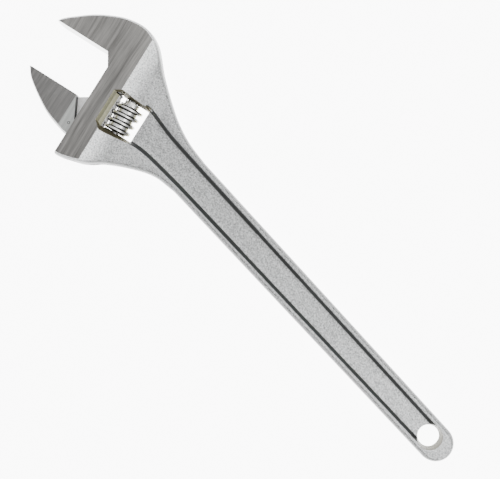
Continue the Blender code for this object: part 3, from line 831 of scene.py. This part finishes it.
    def section(self, line: tuple[float, float, bool]) -> list[Vector]:
        """Ring of world points round one section.

        Args:
            line: The section line.

        Returns:
            The ring.
        """
        middle_x, lean, recessed = line
        d = self.datum
        half = self.thickness(middle_x)
        share = min(max((half - self.thick_start) / (self.half - self.thick_start), 0.0), 1.0)
        draft = self.rib_draft + (self.head_draft - self.rib_draft) * share
        levels = self.levels(ease(share * 1.6))
        top, way = crossing(self.curves["back"], middle_x, lean)
        inward = Vector((way[1], -way[0]))
        top_side = [(top + inward * draft * inset, half * rise) for inset, rise in levels]
        if lean == d.angle and d.head(top)[0] < self.guide_from:
            low_side = [(d.handle(d.head(p)[0], self.guide_fill), height) for p, height in top_side]
        else:
            low, way = crossing(self.curves["jaw"], middle_x, lean)
            inward = Vector((-way[1], way[0]))
            low_side = [(low + inward * draft * inset, half * rise) for inset, rise in levels]
        rim = top_side[-1][0]
        across = low_side[-1][0] - rim
        upper, upper_way = crossing(self.curves["upper"], middle_x, lean)
        lower, lower_way = crossing(self.curves["lower"], middle_x, lean)
        count = self.wall_steps
        flat = across.normalized() if across.length else Vector((0.0, -1.0))
        if upper_way and lower_way:
            run = self.wall_run / 2
            floor = self.web_half if recessed else half
            first, last = [[(place + flat * run * (2 * k / count - 1), near + (far - near) * ease(k / count))
                            for k in range(count + 1)]
                           for place, near, far in ((upper, half, floor), (lower, floor, half))]
        else:
            first, last = [[(rim + across * (start + 0.2 * k / count), half) for k in range(count + 1)]
                           for start in (0.2, 0.6)]
        bridge = [(first[-1][0].lerp(last[0][0], t), first[-1][1]) for t in (0.2, 0.4, 0.6, 0.8)]
        face = top_side + first + bridge + last + low_side[::-1]
        ring = [d.world(p[0], p[1], height) for p, height in face]
        ring += [d.world(p[0], p[1], -height) for p, height in face[-2:0:-1]]
        return ring

    def folded(self, ring: Sequence[Vector]) -> list[Vector]:
        """Ring pressed flat onto the parting line, which closes an end of the forging."""
        level = self.datum.shift[2]
        return [Vector((point[0], point[1], level)) for point in ring]

    def drawn_together(self, ring: Sequence[Vector]) -> list[Vector]:
        """Ring drawn together on the centre line, which closes the round tail.

        Args:
            ring: The last section of the tail.

        Returns:
            The drawn ring.
        """
        shift = self.datum.shift
        top = max(point[2] for point in ring)
        bottom = min(point[2] for point in ring)
        reaches = [math.hypot(x - shift[0] - self.tail_centre, y - shift[1]) for x, y, _ in ring]
        rim = max(reach for reach, point in zip(reaches, ring) if point[2] == top)
        drawn = []
        for reach, point in zip(reaches, ring):
            out = rim if point[2] in (top, bottom) else reach
            drawn.append(Vector((shift[0] + self.tail_centre + out, shift[1], point[2])))
        return drawn

    def near_wall(self, x: float, y: float) -> bool:
        """Whether a handle-frame place lies on a wall of the recess."""
        if x > self.handle_start:
            along = (x - self.handle_start) / (self.tail_centre - self.handle_start)
            edge = self.handle_half + (self.tail_radius - self.handle_half) * along
            return abs(abs(y) - edge + self.rib_width) < self.wall_run * 0.6
        for name in ("upper", "lower"):
            flat = np.array([(p[0], p[1]) for p in self.curves[name]])
            if np.hypot(flat[:, 0] - x, flat[:, 1] - y).min() < self.wall_run * 0.8:
                return True
        return False

    def prism(self, name: str, places: Pairs, low: float, high: float) -> bpy.types.Object:
        """Straight prism over an outline in the head frame."""
        rings = [[self.datum.world_head(v, w, z) for v, w in places] for z in (low, high)]
        return Bench.loft(name, rings)

    def window_form(self) -> bpy.types.Object:
        """Form of the knurl's window, flared to both faces.

        Returns:
            The form.
        """
        jaw, handle, top, bottom = self.window
        rings = []
        reach = self.half * 1.2
        for height in (-reach, 0.0, reach):
            share = abs(height) / self.half
            near = jaw - self.half * math.tan(self.draft) * share
            up, down = self.flare_fixed * share, self.flare_outer * share
            places = [(near, top), (self.ground_reach, top - up), (handle, top - up * 0.75),
                      (handle, bottom + down * 0.6), (self.ground_reach, bottom + down), (near, bottom)]
            rings.append([self.datum.world_head(v, w, height) for v, w in places])
        return Bench.loft("window_form", rings)

    def cut_forms(self) -> list[bpy.types.Object]:
        """All the forms that are cut out of the forging.

        Returns:
            The forms.
        """
        d = self.datum
        far = self.clear_of_all
        high = self.clear_height
        gap = [(-self.reach * 1.5, 0.0), (-self.reach * 1.5, far), (0.0, far), (0.0, self.throat_guide),
               (-self.throat_face, 0.0)]
        face = -self.key_above - self.slot_clearance
        root = -self.web_root
        slot = [(root, 0.8 * MM), (0.0, face), (self.bore_v, face), (self.bore_v, far), (-self.reach, far),
                (-self.reach, 0.8 * MM)]

        def along_w(axis_v: float) -> Place:
            """Placing function for an axis along w."""
            return lambda a, b, height: d.world_head(axis_v + a, height, b)

        bore = [(self.bore_radius * 0.5, -self.bore_above - self.bore_radius * 0.25),
                (self.bore_radius, -self.bore_above), (self.bore_radius, far)]
        pin_top = self.window[2] - self.pin_recess
        wide = self.hole_radius + high * math.tan(self.draft)
        return [self.prism("gap_form", gap, -high, high),
                self.window_form(),
                Bench.turned("bore_form", bore, along_w(self.bore_v)),
                self.prism("slot_form", slot, -self.slot_half, self.slot_half),
                Bench.turned("pin_form", [(self.pin_bore, pin_top), (self.pin_bore, far)],
                             along_w(d.knurl_v), 48),
                Bench.turned("hole_form", [(wide, -high), (self.hole_radius, 0.0), (wide, high)],
                             lambda a, b, height: d.world(self.hole_x + a, b, height))]

    def zone(self, centre: Vector, normal: Vector) -> int:
        """Finish of one face.

        Args:
            centre: Middle of the face.
            normal: Normal of the face.

        Returns:
            The number of its zone.
        """
        v, w, z = self.datum.head_of_world(centre)
        shift = self.datum.shift
        x, y = centre[0] - shift[0], centre[1] - shift[1]
        flat = abs(normal[2])
        jaw, handle, top, bottom = self.window
        if v < self.ground_reach and flat > LEVEL and abs(z) > self.half - 0.05 * MM:
            return Zone.GROUND.value
        # wall of the hanging hole, which gets a dark olive with painted shade
        if math.hypot(x - self.hole_x, y) < self.hole_radius + 2.5 * MM and flat < STEEP:
            return Zone.HOLE.value
        inside = jaw - 4.5 * MM < v < handle + 0.5 * MM and top - 4.5 * MM < w < bottom + 6.0 * MM
        # painted light and shade: window walls facing along v get the lit copy of the beige finish, the
        # other walls the shaded copy
        if inside and flat < STEEP and v > 12.0 * MM:
            across = abs(self.datum.facing(normal)[0]) > 0.8
            return Zone.WINDOW_LIT.value if across else Zone.WINDOW_SHADED.value
        if flat < UPRIGHT and (abs(w) < 0.3 * MM and v < 0.0 or abs(v) < 0.3 * MM and w > 0.0):
            return Zone.GRIP.value
        in_bore = math.hypot(v - self.bore_v, z) < self.bore_radius + 0.2 * MM
        if in_bore and abs(z) < self.half - 1 * MM and v < jaw + 3 * MM:
            return Zone.BORE.value
        # painted shade: the sloped walls of the handle's recess get a darker copy of the satin
        if UPRIGHT < flat < SLOPED and v > handle - 3 * MM and x < self.hole_x and self.near_wall(x, y):
            return Zone.RECESS_SHADE.value
        return Zone.SATIN.value

    def build(self, finishes: dict[Zone, bpy.types.Material]) -> bpy.types.Object:
        """Shape and dress the forging.

        Args:
            finishes: The material of each zone.

        Returns:
            The piece.
        """
        self.curves = {"back": self.outline(Side.BACK), "jaw": self.outline(Side.JAW),
                       "upper": self.wall(Side.BACK), "lower": self.wall(Side.JAW)}
        rings = [self.section(line) for line in self.stations()]
        rings = [self.folded(rings[0]), *rings, self.drawn_together(rings[-1])]
        piece = Bench.loft("forging", rings)
        for form in self.cut_forms():
            Bench.combine(piece, form)
        Bench.finish(piece, CUT_EDGE)
        Bench.dress(piece, [finishes[zone] for zone in Zone], self.zone)
        return piece


# ---------------------------------------------------------------- movable jaw

@dataclass(frozen=True)
class Thread:
    """One right-handed ridge on a round core."""

    radius: float = 11.2 * MM
    core: float = 8.3 * MM
    pitch: float = 6.1 * MM
    crest: float = 1.6 * MM
    flank: float = math.radians(20.0)
    phase: float = -8.6 * MM
    grow: float = 0.0
    overreach: float = 0.0
    soften: float = 0.45 * MM

    def at(self, turn: float, height: float) -> float:
        """Radius of the surface.

        Args:
            turn: Angle about the axis.
            height: Height along the axis from the ridge's datum.

        Returns:
            The radius.
        """
        off = (height - self.phase - self.pitch * turn / math.tau) % self.pitch
        off = min(off, self.pitch - off)
        top = self.radius + self.overreach
        sloped = self.radius + (self.crest / 2 + self.grow - off) / math.tan(self.flank)
        if self.soften <= 0:
            return min(max(sloped, self.core), top)
        k = self.soften
        low = 0.5 * (sloped + self.core + math.sqrt((sloped - self.core) ** 2 + k * k))
        return 0.5 * (low + top - math.sqrt((low - top) ** 2 + k * k))


@dataclass
class MovableJaw:
    """Lower jaw with its web and toothed bar."""

    datum: Datum
    opening: float = 40.4 * MM
    half: float = 14.0 * MM
    reach: float = 52.6 * MM
    chamfer_face: float = 9.2 * MM
    chamfer_guide: float = 17.5 * MM
    gap: float = 0.3 * MM
    draft: float = 2.2 * MM
    step_reach: float = 8.8 * MM
    step_depth: float = 1.2 * MM
    web_half: float = 4.75 * MM
    web_above: float = 4.9 * MM
    web_below: float = 28.5 * MM
    web_neck: float = 1.4 * MM
    web_root: float = 0.6 * MM
    bar_v: float = 11.55 * MM
    bar_radius: float = 8.5 * MM
    bar_chamfer: float = 1.0 * MM
    bar_above: float = 18.4 * MM
    bar_below: float = 31.0 * MM
    beige_to: float = 17.9 * MM
    level_steps: int = 10
    dimple: tuple[float, float, float] = (-2.6 * MM, 21.5 * MM, 1.2 * MM)

    def place(self, v: float, w: float, z: float) -> Vector:
        """World point of a place measured from the jaw's own gripping face."""
        return self.datum.world_head(v, w + self.opening, z)

    def underside(self) -> list[Vector]:
        """Curved underside, from tip to guide.

        Returns:
            Points as v and distance below the gripping face.
        """
        tip = -self.reach
        points = [(tip + 0.2 * MM, 1.8 * MM), (tip + 6.0 * MM, 8.9 * MM), (tip + 18.6 * MM, 17.9 * MM),
                  (-21.3 * MM, 25.0 * MM), (-6.6 * MM, 29.8 * MM), (-self.gap, 31.0 * MM)]
        return smooth_curve([Vector(point) for point in points], 14)

    def cheek(self) -> bpy.types.Object:
        """Jaw without its web and bar.

        Returns:
            The form.
        """
        lower = self.underside()
        guide = -self.gap
        straight = [(guide, self.chamfer_guide), (-self.chamfer_face, 0.0), (-self.reach, 0.0)]
        rings = []
        for k in range(2 * self.level_steps + 1):
            height = self.half * math.sin(math.pi / 2 * (k / self.level_steps - 1))
            share = (abs(height) / self.half) ** 1.5
            rounding = max(0.0, (abs(height) / self.half - 0.93) / 0.07) ** 2 * 0.35 * MM
            points = [list(point) for point in straight]
            points[2][0] += self.draft * share * 1.6
            for i, point in enumerate(lower):
                way = (lower[min(i + 1, len(lower) - 1)] - lower[max(i - 1, 0)]).normalized()
                inward = Vector((way[1], -way[0])) * (self.draft * share + rounding)
                points.append([min(point[0] + inward[0], guide), point[1] + inward[1]])
            rings.append([self.place(v, w, height) for v, w in points])
        return Bench.loft("movable_jaw_look", rings)

    def step_form(self, side: int) -> bpy.types.Object:
        """Wedge that lowers the face beside the guide.

        Args:
            side: 1 for the upper face, -1 for the lower.

        Returns:
            The form.
        """
        above = self.half + 5 * MM
        profile = [(-self.step_reach, self.half), (self.step_reach, self.half - 2 * self.step_depth),
                   (self.step_reach, above), (-self.step_reach, above)]
        rings = [[self.place(v, w, side * z) for v, z in profile] for w in (-40 * MM, 60 * MM)]
        return Bench.loft("step_form", rings)

    def web(self) -> bpy.types.Object:
        """Web between cheek and bar.

        Returns:
            The form.
        """
        root = -self.chamfer_face - self.web_root
        places = [(root, self.web_neck), (0.0, -self.web_above), (self.bar_v, -self.web_above),
                  (self.bar_v, self.web_below), (root, self.web_below)]
        rings = [[self.place(v, w, z) for v, w in places] for z in (-self.web_half, self.web_half)]
        return Bench.loft("web_form", rings)

    def bar(self) -> bpy.types.Object:
        """Round bar that slides in the forging.

        Returns:
            The form.
        """
        soft = self.bar_chamfer
        profile = [(self.bar_radius - soft, -self.bar_above), (self.bar_radius, -self.bar_above + soft),
                   (self.bar_radius, self.bar_below - soft), (self.bar_radius - soft, self.bar_below)]
        return Bench.turned("bar_form", profile, lambda a, b, h: self.place(self.bar_v + a, h, b))

    def teeth_form(self) -> bpy.types.Object:
        """Form of the gaps between the rack's teeth, a grown copy of the knurl's ridge.

        Returns:
            The form.
        """
        thread = Thread(crest=1.3 * MM, grow=0.50 * MM, overreach=0.8 * MM, soften=0.0)
        low, high = -self.bar_above - 3 * MM, self.bar_below + 3 * MM
        shift = self.datum.knurl_w - self.opening
        count, around = 300, 120
        rings = []
        for k in range(count):
            height = low + (high - low) * k / (count - 1)
            ring = []
            for i in range(around):
                turn = math.tau * i / around
                r = thread.at(turn, height - shift)
                ring.append(self.datum.about_knurl(r, turn, height + self.opening))
            rings.append(ring)
        return Bench.loft("teeth_form", rings)

    def dimple_form(self) -> bpy.types.Object:
        """Ball that leaves the small dimple in the lowered face.

        Returns:
            The form.
        """
        v, w, radius = self.dimple
        drop = self.step_depth * (self.step_reach + v) / self.step_reach
        Bench.clear()
        centre = self.place(v, w, self.half - drop + radius * 0.35)
        bpy.ops.mesh.primitive_uv_sphere_add(segments=32, ring_count=20, radius=radius, location=centre)
        ball = bpy.context.object
        ball.name = "dimple_form"
        return ball

    def finish_of(self, centre: Vector, normal: Vector) -> int:
        """Finish of one face.

        The slots are 0 ground, 1 lowered band, 2 plain sides, 3 web and teeth, 4 shadowed cuts and
        5 the plain side of the bar.

        Args:
            centre: Middle of the face.
            normal: Normal of the face.

        Returns:
            The slot.
        """
        v, w, z = self.datum.head_of_world(centre)
        out_v = self.datum.facing(normal)[0]
        if v > self.bar_v:
            radial = math.hypot(v - self.bar_v, z)
            facing = (out_v * (v - self.bar_v) + normal[2] * z) / max(radial, 1e-9)
            off_surface = abs(radial - self.bar_radius) > 0.02 * MM
            if facing < SLOPED and radial > self.bar_radius * 0.6 and off_surface:
                return 4
            # painted light: up to this v the bar's plain side takes the lit window wall's beige, beyond it
            # the lifted bright steel
            return 5 if v < self.beige_to else 3
        on_web = abs(z) < self.web_half + 0.02 * MM and w < self.opening + self.web_neck
        if v > -self.gap - 0.01 * MM or on_web:
            return 3
        if out_v > 0.5 and abs(normal[2]) < UPRIGHT:
            return 4
        if abs(normal[2]) > 0.9:
            return 1 if v > -self.step_reach else 0
        return 2

    def build(self, materials: Sequence[bpy.types.Material]) -> bpy.types.Object:
        """Shape and dress the jaw.

        Args:
            materials: The materials of the slots in finish_of.

        Returns:
            The piece.
        """
        piece = self.cheek()
        for side in (1, -1):
            Bench.combine(piece, self.step_form(side))
        Bench.combine(piece, self.dimple_form())
        Bench.combine(piece, self.web(), "UNION")
        Bench.combine(piece, self.bar(), "UNION")
        Bench.combine(piece, self.teeth_form())
        Bench.finish(piece, CUT_EDGE)
        Bench.dress(piece, materials, self.finish_of)
        return piece


# ---------------------------------------------------------------- knurl, pin and spring

@dataclass
class AdjustingKnurl:
    """Worm that the thumb turns, bored for its pin and spring."""

    datum: Datum
    thread: Thread = Thread()
    length: float = 26.6 * MM
    hub_length: float = 3.7 * MM
    hub_radius: float = 6.2 * MM
    bore: float = 3.3 * MM
    pocket: float = 5.0 * MM
    pocket_depth: float = 8.0 * MM
    soft: float = 0.35 * MM
    steps_along: int = 230
    steps_round: int = 144

    def rings(self) -> list[tuple[float, Callable[[float], float]]]:
        """Heights and radius rules of the surface, in order round its section.

        Returns:
            Height and radius rule of each ring.
        """
        half = self.length / 2
        hub_end = -half + self.hub_length
        soft = self.soft
        rows: list[tuple[float, Callable[[float], float]]] = []

        def fixed(radius: float) -> Callable[[float], float]:
            """Rule for a plain round ring."""
            return lambda turn: radius

        def ridged(height: float, less: float) -> Callable[[float], float]:
            """Rule for a ring on the ridged length."""
            return lambda turn: max(self.thread.at(turn, height) - less, self.thread.core - less)

        rows.append((-half, fixed(self.bore)))
        rows.append((-half, fixed(self.hub_radius - soft)))
        for k in range(1, 5):
            turn = math.pi / 2 * k / 4
            radius = self.hub_radius - soft * (1 - math.sin(turn))
            rows.append((-half + soft * (1 - math.cos(turn)), fixed(radius)))
        rows.append((hub_end, fixed(self.hub_radius)))
        for k in range(self.steps_along + 1):
            height = hub_end + (half - hub_end) * k / self.steps_along
            edge = min(height - hub_end, half - height)
            less = soft * (1 - math.sqrt(max(0.0, 1 - (1 - min(edge / soft, 1.0)) ** 2)))
            rows.append((height, ridged(height, less)))
        floor = half - self.pocket_depth
        rows.append((half, fixed(self.pocket)))
        rows.append((floor, fixed(self.pocket)))
        rows.append((floor, fixed(self.bore)))
        rows.append((-half, fixed(self.bore)))
        return rows

    def slot_of(self, centre: Vector, normal: Vector) -> int:
        """Finish of one face: 0 bright, 1 the flanks and ends, darkened as painted shade.

        Args:
            centre: Middle of the face.
            normal: Normal of the face.

        Returns:
            The slot.
        """
        along = abs(self.datum.facing(normal)[1])
        v, _, z = self.datum.head_of_world(centre)
        radius = math.hypot(v - self.datum.knurl_v, z)
        # painted shade: faces looking along the axis out on the ridge, and faces in the pocket, get the dark
        # finish
        flank = along > 0.6 and radius > self.thread.core * 0.9
        return 1 if flank or radius < self.pocket + 0.1 * MM else 0

    def build(self, materials: Sequence[bpy.types.Material]) -> bpy.types.Object:
        """Shape and dress the knurl.

        Args:
            materials: Bright and dark materials.

        Returns:
            The piece.
        """
        d = self.datum
        count = self.steps_round
        rows = []
        for height, rule in self.rings():
            row = []
            for i in range(count + 1):
                turn = math.tau * (i % count) / count
                row.append(tuple(d.about_knurl(rule(turn), turn, d.knurl_w + height)))
            rows.append(row)
        piece = Bench.surface("knurl_look", np.array(rows), caps=False)
        Bench.finish(piece, TURNED_EDGE)
        Bench.dress(piece, materials, self.slot_of)
        return piece


@dataclass
class KnurlPin:
    """Slotted pin that the knurl turns on."""

    datum: Datum
    radius: float = 3.0 * MM
    chamfer: float = 0.5 * MM
    top: float = 13.1 * MM
    end: float = 75.75 * MM
    slot_width: float = 1.0 * MM
    slot_depth: float = 1.4 * MM

    def build(self, material: bpy.types.Material) -> bpy.types.Object:
        """Shape and dress the pin.

        Args:
            material: Its finish.

        Returns:
            The piece.
        """
        d = self.datum
        profile = [(self.radius - self.chamfer, self.top), (self.radius, self.top + self.chamfer),
                   (self.radius, self.end - self.chamfer), (self.radius - self.chamfer, self.end)]
        piece = Bench.turned("pin_look", profile, lambda a, b, h: d.world_head(d.knurl_v + a, h, b), 64)
        half, wide = self.slot_width / 2, 8 * MM
        rings = [[d.world_head(d.knurl_v + a, h, b) for a, b in
                  ((-half, -wide), (half, -wide), (half, wide), (-half, wide))]
                 for h in (self.end - self.slot_depth, self.end + 5 * MM)]
        Bench.combine(piece, Bench.loft("slot_form", rings))
        Bench.finish(piece, CUT_EDGE)
        Bench.dress(piece, [material], lambda centre, normal: 0)
        return piece


@dataclass
class KnurlSpring:
    """Coil spring in the knurl's pocket."""

    datum: Datum
    wire: float = 0.45 * MM
    radius: float = 4.15 * MM
    low: float = 6.05 * MM
    high: float = 12.85 * MM
    turns: int = 5
    turn_steps: int = 40
    wire_steps: int = 14

    def build(self, material: bpy.types.Material) -> bpy.types.Object:
        """Shape and dress the spring.

        Args:
            material: Its finish.

        Returns:
            The piece.
        """
        d = self.datum
        steps = self.turn_steps
        rings = []
        for i in range(self.turns * steps + 1):
            turn = math.tau * i / steps
            height = d.knurl_w + self.low + (self.high - self.low) * i / (self.turns * steps)
            ring = []
            for k in range(self.wire_steps):
                round_wire = math.tau * k / self.wire_steps
                r = self.radius + self.wire * math.cos(round_wire)
                ring.append(d.about_knurl(r, turn, height + self.wire * math.sin(round_wire)))
            rings.append(ring)
        piece = Bench.loft("spring_look", rings)
        Bench.finish(piece, TURNED_EDGE)
        Bench.dress(piece, [material], lambda centre, normal: 0)
        return piece


# ---------------------------------------------------------------- studio

@dataclass
class Studio:
    """Floor, lights and camera."""

    datum: Datum
    floor_size: float = 14.0
    floor_drop: float = 0.0005
    camera_over: tuple[float, float] = (227.2 * MM, 1.87 * MM)
    camera_height: float = 0.700
    camera_turn: float = math.radians(47.17)
    lens: float = 64.8
    sensor: float = 36.0

    def floor(self) -> bpy.types.Object:
        """Pale floor under the wrench.

        Returns:
            The floor.
        """
        Bench.clear()
        bpy.ops.mesh.primitive_plane_add(size=self.floor_size, location=(0.0, 0.0, -self.floor_drop))
        plane = bpy.context.object
        plane.name = "floor"
        plane.data.materials.append(FloorFinish().material())
        return plane

    def sky(self) -> None:
        """Soft light from all round, strongest overhead."""
        world = bpy.data.worlds.new("studio")
        bpy.context.scene.world = world
        world.use_nodes = True
        tree = world.node_tree
        place = tree.nodes.new("ShaderNodeTexCoord")
        split = tree.nodes.new("ShaderNodeSeparateXYZ")
        ramp = tree.nodes.new("ShaderNodeMapRange")
        ramp.inputs["From Min"].default_value = 0.0
        ramp.inputs["From Max"].default_value = 0.95
        ramp.inputs["To Min"].default_value = 0.12
        ramp.inputs["To Max"].default_value = 1.15
        tree.links.new(place.outputs["Generated"], split.inputs[0])
        tree.links.new(split.outputs["Z"], ramp.inputs["Value"])
        tree.links.new(ramp.outputs["Result"], tree.nodes["Background"].inputs["Strength"])
        tree.nodes["Background"].inputs["Color"].default_value = (1.0, 1.0, 1.0, 1.0)

    def lamp(self, name: str, place: Point, size: float, power: float) -> None:
        """Soft box aimed at the wrench.

        Args:
            name: Name of the lamp.
            place: Where it hangs.
            size: Its width.
            power: Its power in watts.
        """
        Bench.clear()
        bpy.ops.object.light_add(type="AREA", location=place)
        lamp = bpy.context.object
        lamp.name = name
        lamp.data.size = size
        lamp.data.energy = power
        aim = -Vector(place)
        lamp.rotation_euler = aim.to_track_quat("-Z", "Y").to_euler()

    def camera(self) -> None:
        """Camera straight above, turned so that the handle runs down to the right."""
        Bench.clear()
        spot = self.datum.world(*self.camera_over, self.camera_height)
        bpy.ops.object.camera_add(location=spot, rotation=(0.0, 0.0, self.camera_turn))
        camera = bpy.context.object
        camera.name = "camera"
        camera.data.lens = self.lens
        camera.data.sensor_width = self.sensor
        bpy.context.scene.camera = camera

    def build(self) -> bpy.types.Object:
        """Set up the studio.

        Returns:
            The floor.
        """
        self.sky()
        self.lamp("softbox_handle", (0.75, 0.1, 1.5), 0.9, 9.0)
        self.lamp("softbox_top", (-0.5, 0.7, 1.5), 0.9, 5.0)
        self.camera()
        return self.floor()


def finishes(datum: Datum) -> dict[Zone, bpy.types.Material]:
    """Materials of the forging's zones.

    Args:
        datum: Place of the head, whose angle the grinding marks follow.

    Returns:
        A material for each zone.
    """
    turn = datum.angle
    # painted light on the satin: brighter at the start of the neck, next to the ground face of the head
    painted_neck_light = (tuple(datum.world_head(0.0, 0.0)), turn, Forging.ground_reach)
    satin = ForgedFinish("satin_chrome", (0.43, 0.437, 0.437), 0.40, 900.0, 0.0004, 0.5, side_shade=0.13,
                         painted_neck_light=painted_neck_light)
    # one beige finish in a lit and a shaded copy: painted light and shade on the window's walls
    light = ForgedFinish("window_wall_lit", (0.46, 0.45, 0.31), 0.55, 500.0, metallic=0.4)
    dark = ForgedFinish("window_end", (0.16, 0.145, 0.09), 0.55, 500.0, metallic=0.4)
    ground = GroundFinish("ground_head", (0.215, 0.21, 0.202), 0.34, turn, contrast=0.34)
    return {
        Zone.SATIN: satin.material(),
        Zone.GROUND: ground.material(),
        Zone.GRIP: GroundFinish("ground_grip", (0.40, 0.40, 0.39), 0.30, turn).material(),
        Zone.WINDOW_LIT: light.material(),
        Zone.WINDOW_SHADED: dark.material(),
        # dark olive of the hanging hole's wall: an olive tone made much darker as painted shade inside the
        # hole
        Zone.HOLE: ForgedFinish("hole_wall_shaded", (0.045, 0.04, 0.02), 0.5, 500.0, metallic=0.5).material(),
        # darker copy of the satin: painted shade on the recess walls
        Zone.RECESS_SHADE: ForgedFinish("recess_wall_shade", (0.17, 0.175, 0.175), 0.40).material(),
        Zone.BORE: ForgedFinish("bore_wall", (0.22, 0.22, 0.21), 0.45, 700.0).material(),
    }


def main() -> None:
    """Build the wrench's looks on its frame."""
    logging.basicConfig(level=logging.INFO, format="%(message)s")
    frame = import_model()
    hinge = next(joint for joint in frame["joints"] if joint["name"] == "knurl_spin")
    datum = Datum(knurl_at=tuple(hinge["pos_m"]))
    turn = datum.angle

    forging = Forging(datum).build(finishes(datum))
    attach(forging, "wrench")
    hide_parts("wrench_body")
    LOG.info("forging: %d faces", len(forging.data.polygons))

    ground = GroundFinish("ground_jaw", (0.185, 0.182, 0.178), 0.34, turn, contrast=0.24).material()
    band = GroundFinish("ground_band", (0.36, 0.37, 0.36), 0.36, turn).material()
    # sides of the jaw: steep faces darken as painted shade
    side = ForgedFinish("jaw_side", (0.50, 0.51, 0.51), 0.38, grain_depth=0.0002, side_shade=0.16).material()
    # bright steel of the web, bar and teeth, lifted near white as painted light where they sit in the
    # window's shade
    bar = ForgedFinish("machined_bar_painted_light", (0.92, 0.92, 0.91), 0.42, 700.0, metallic=0.6).material()
    shadow = ForgedFinish("shadowed_cut", (0.035, 0.035, 0.035), 0.5, 700.0).material()
    # same beige as the lit window wall: a beige tone with painted light
    beige_side = ForgedFinish("beige_bar_side", (0.46, 0.45, 0.31), 0.55, 500.0, metallic=0.4).material()
    jaw = MovableJaw(datum).build([ground, band, side, bar, shadow, beige_side])
    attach(jaw, "jaw")
    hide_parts("movable_jaw")
    LOG.info("movable jaw: %d faces", len(jaw.data.polygons))

    bright = ForgedFinish("bright_knurl", (0.86, 0.86, 0.85), 0.26, 900.0, 0.00002, 0.05).material()
    # near black: painted shade on the knurl's flanks and in its pocket
    dark = ForgedFinish("shaded_flank", (0.02, 0.02, 0.02), 0.35, 900.0).material()
    knurl = AdjustingKnurl(datum).build([bright, dark])
    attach(knurl, "knurl")
    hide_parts("adjusting_knurl")
    LOG.info("knurl: %d faces", len(knurl.data.polygons))

    pin = KnurlPin(datum).build(ForgedFinish("dark_steel", (0.30, 0.30, 0.30), 0.38, 800.0).material())
    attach(pin, "wrench")
    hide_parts("knurl_pin")
    LOG.info("pin: %d faces", len(pin.data.polygons))

    wire = ForgedFinish("spring_steel", (0.42, 0.41, 0.40), 0.3, 800.0).material()
    spring = KnurlSpring(datum).build(wire)
    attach(spring, "wrench")
    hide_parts("knurl_spring")
    LOG.info("spring: %d faces", len(spring.data.polygons))

    Studio(datum).build()
    LOG.info("studio ready")


if __name__ == "__main__":
    main()
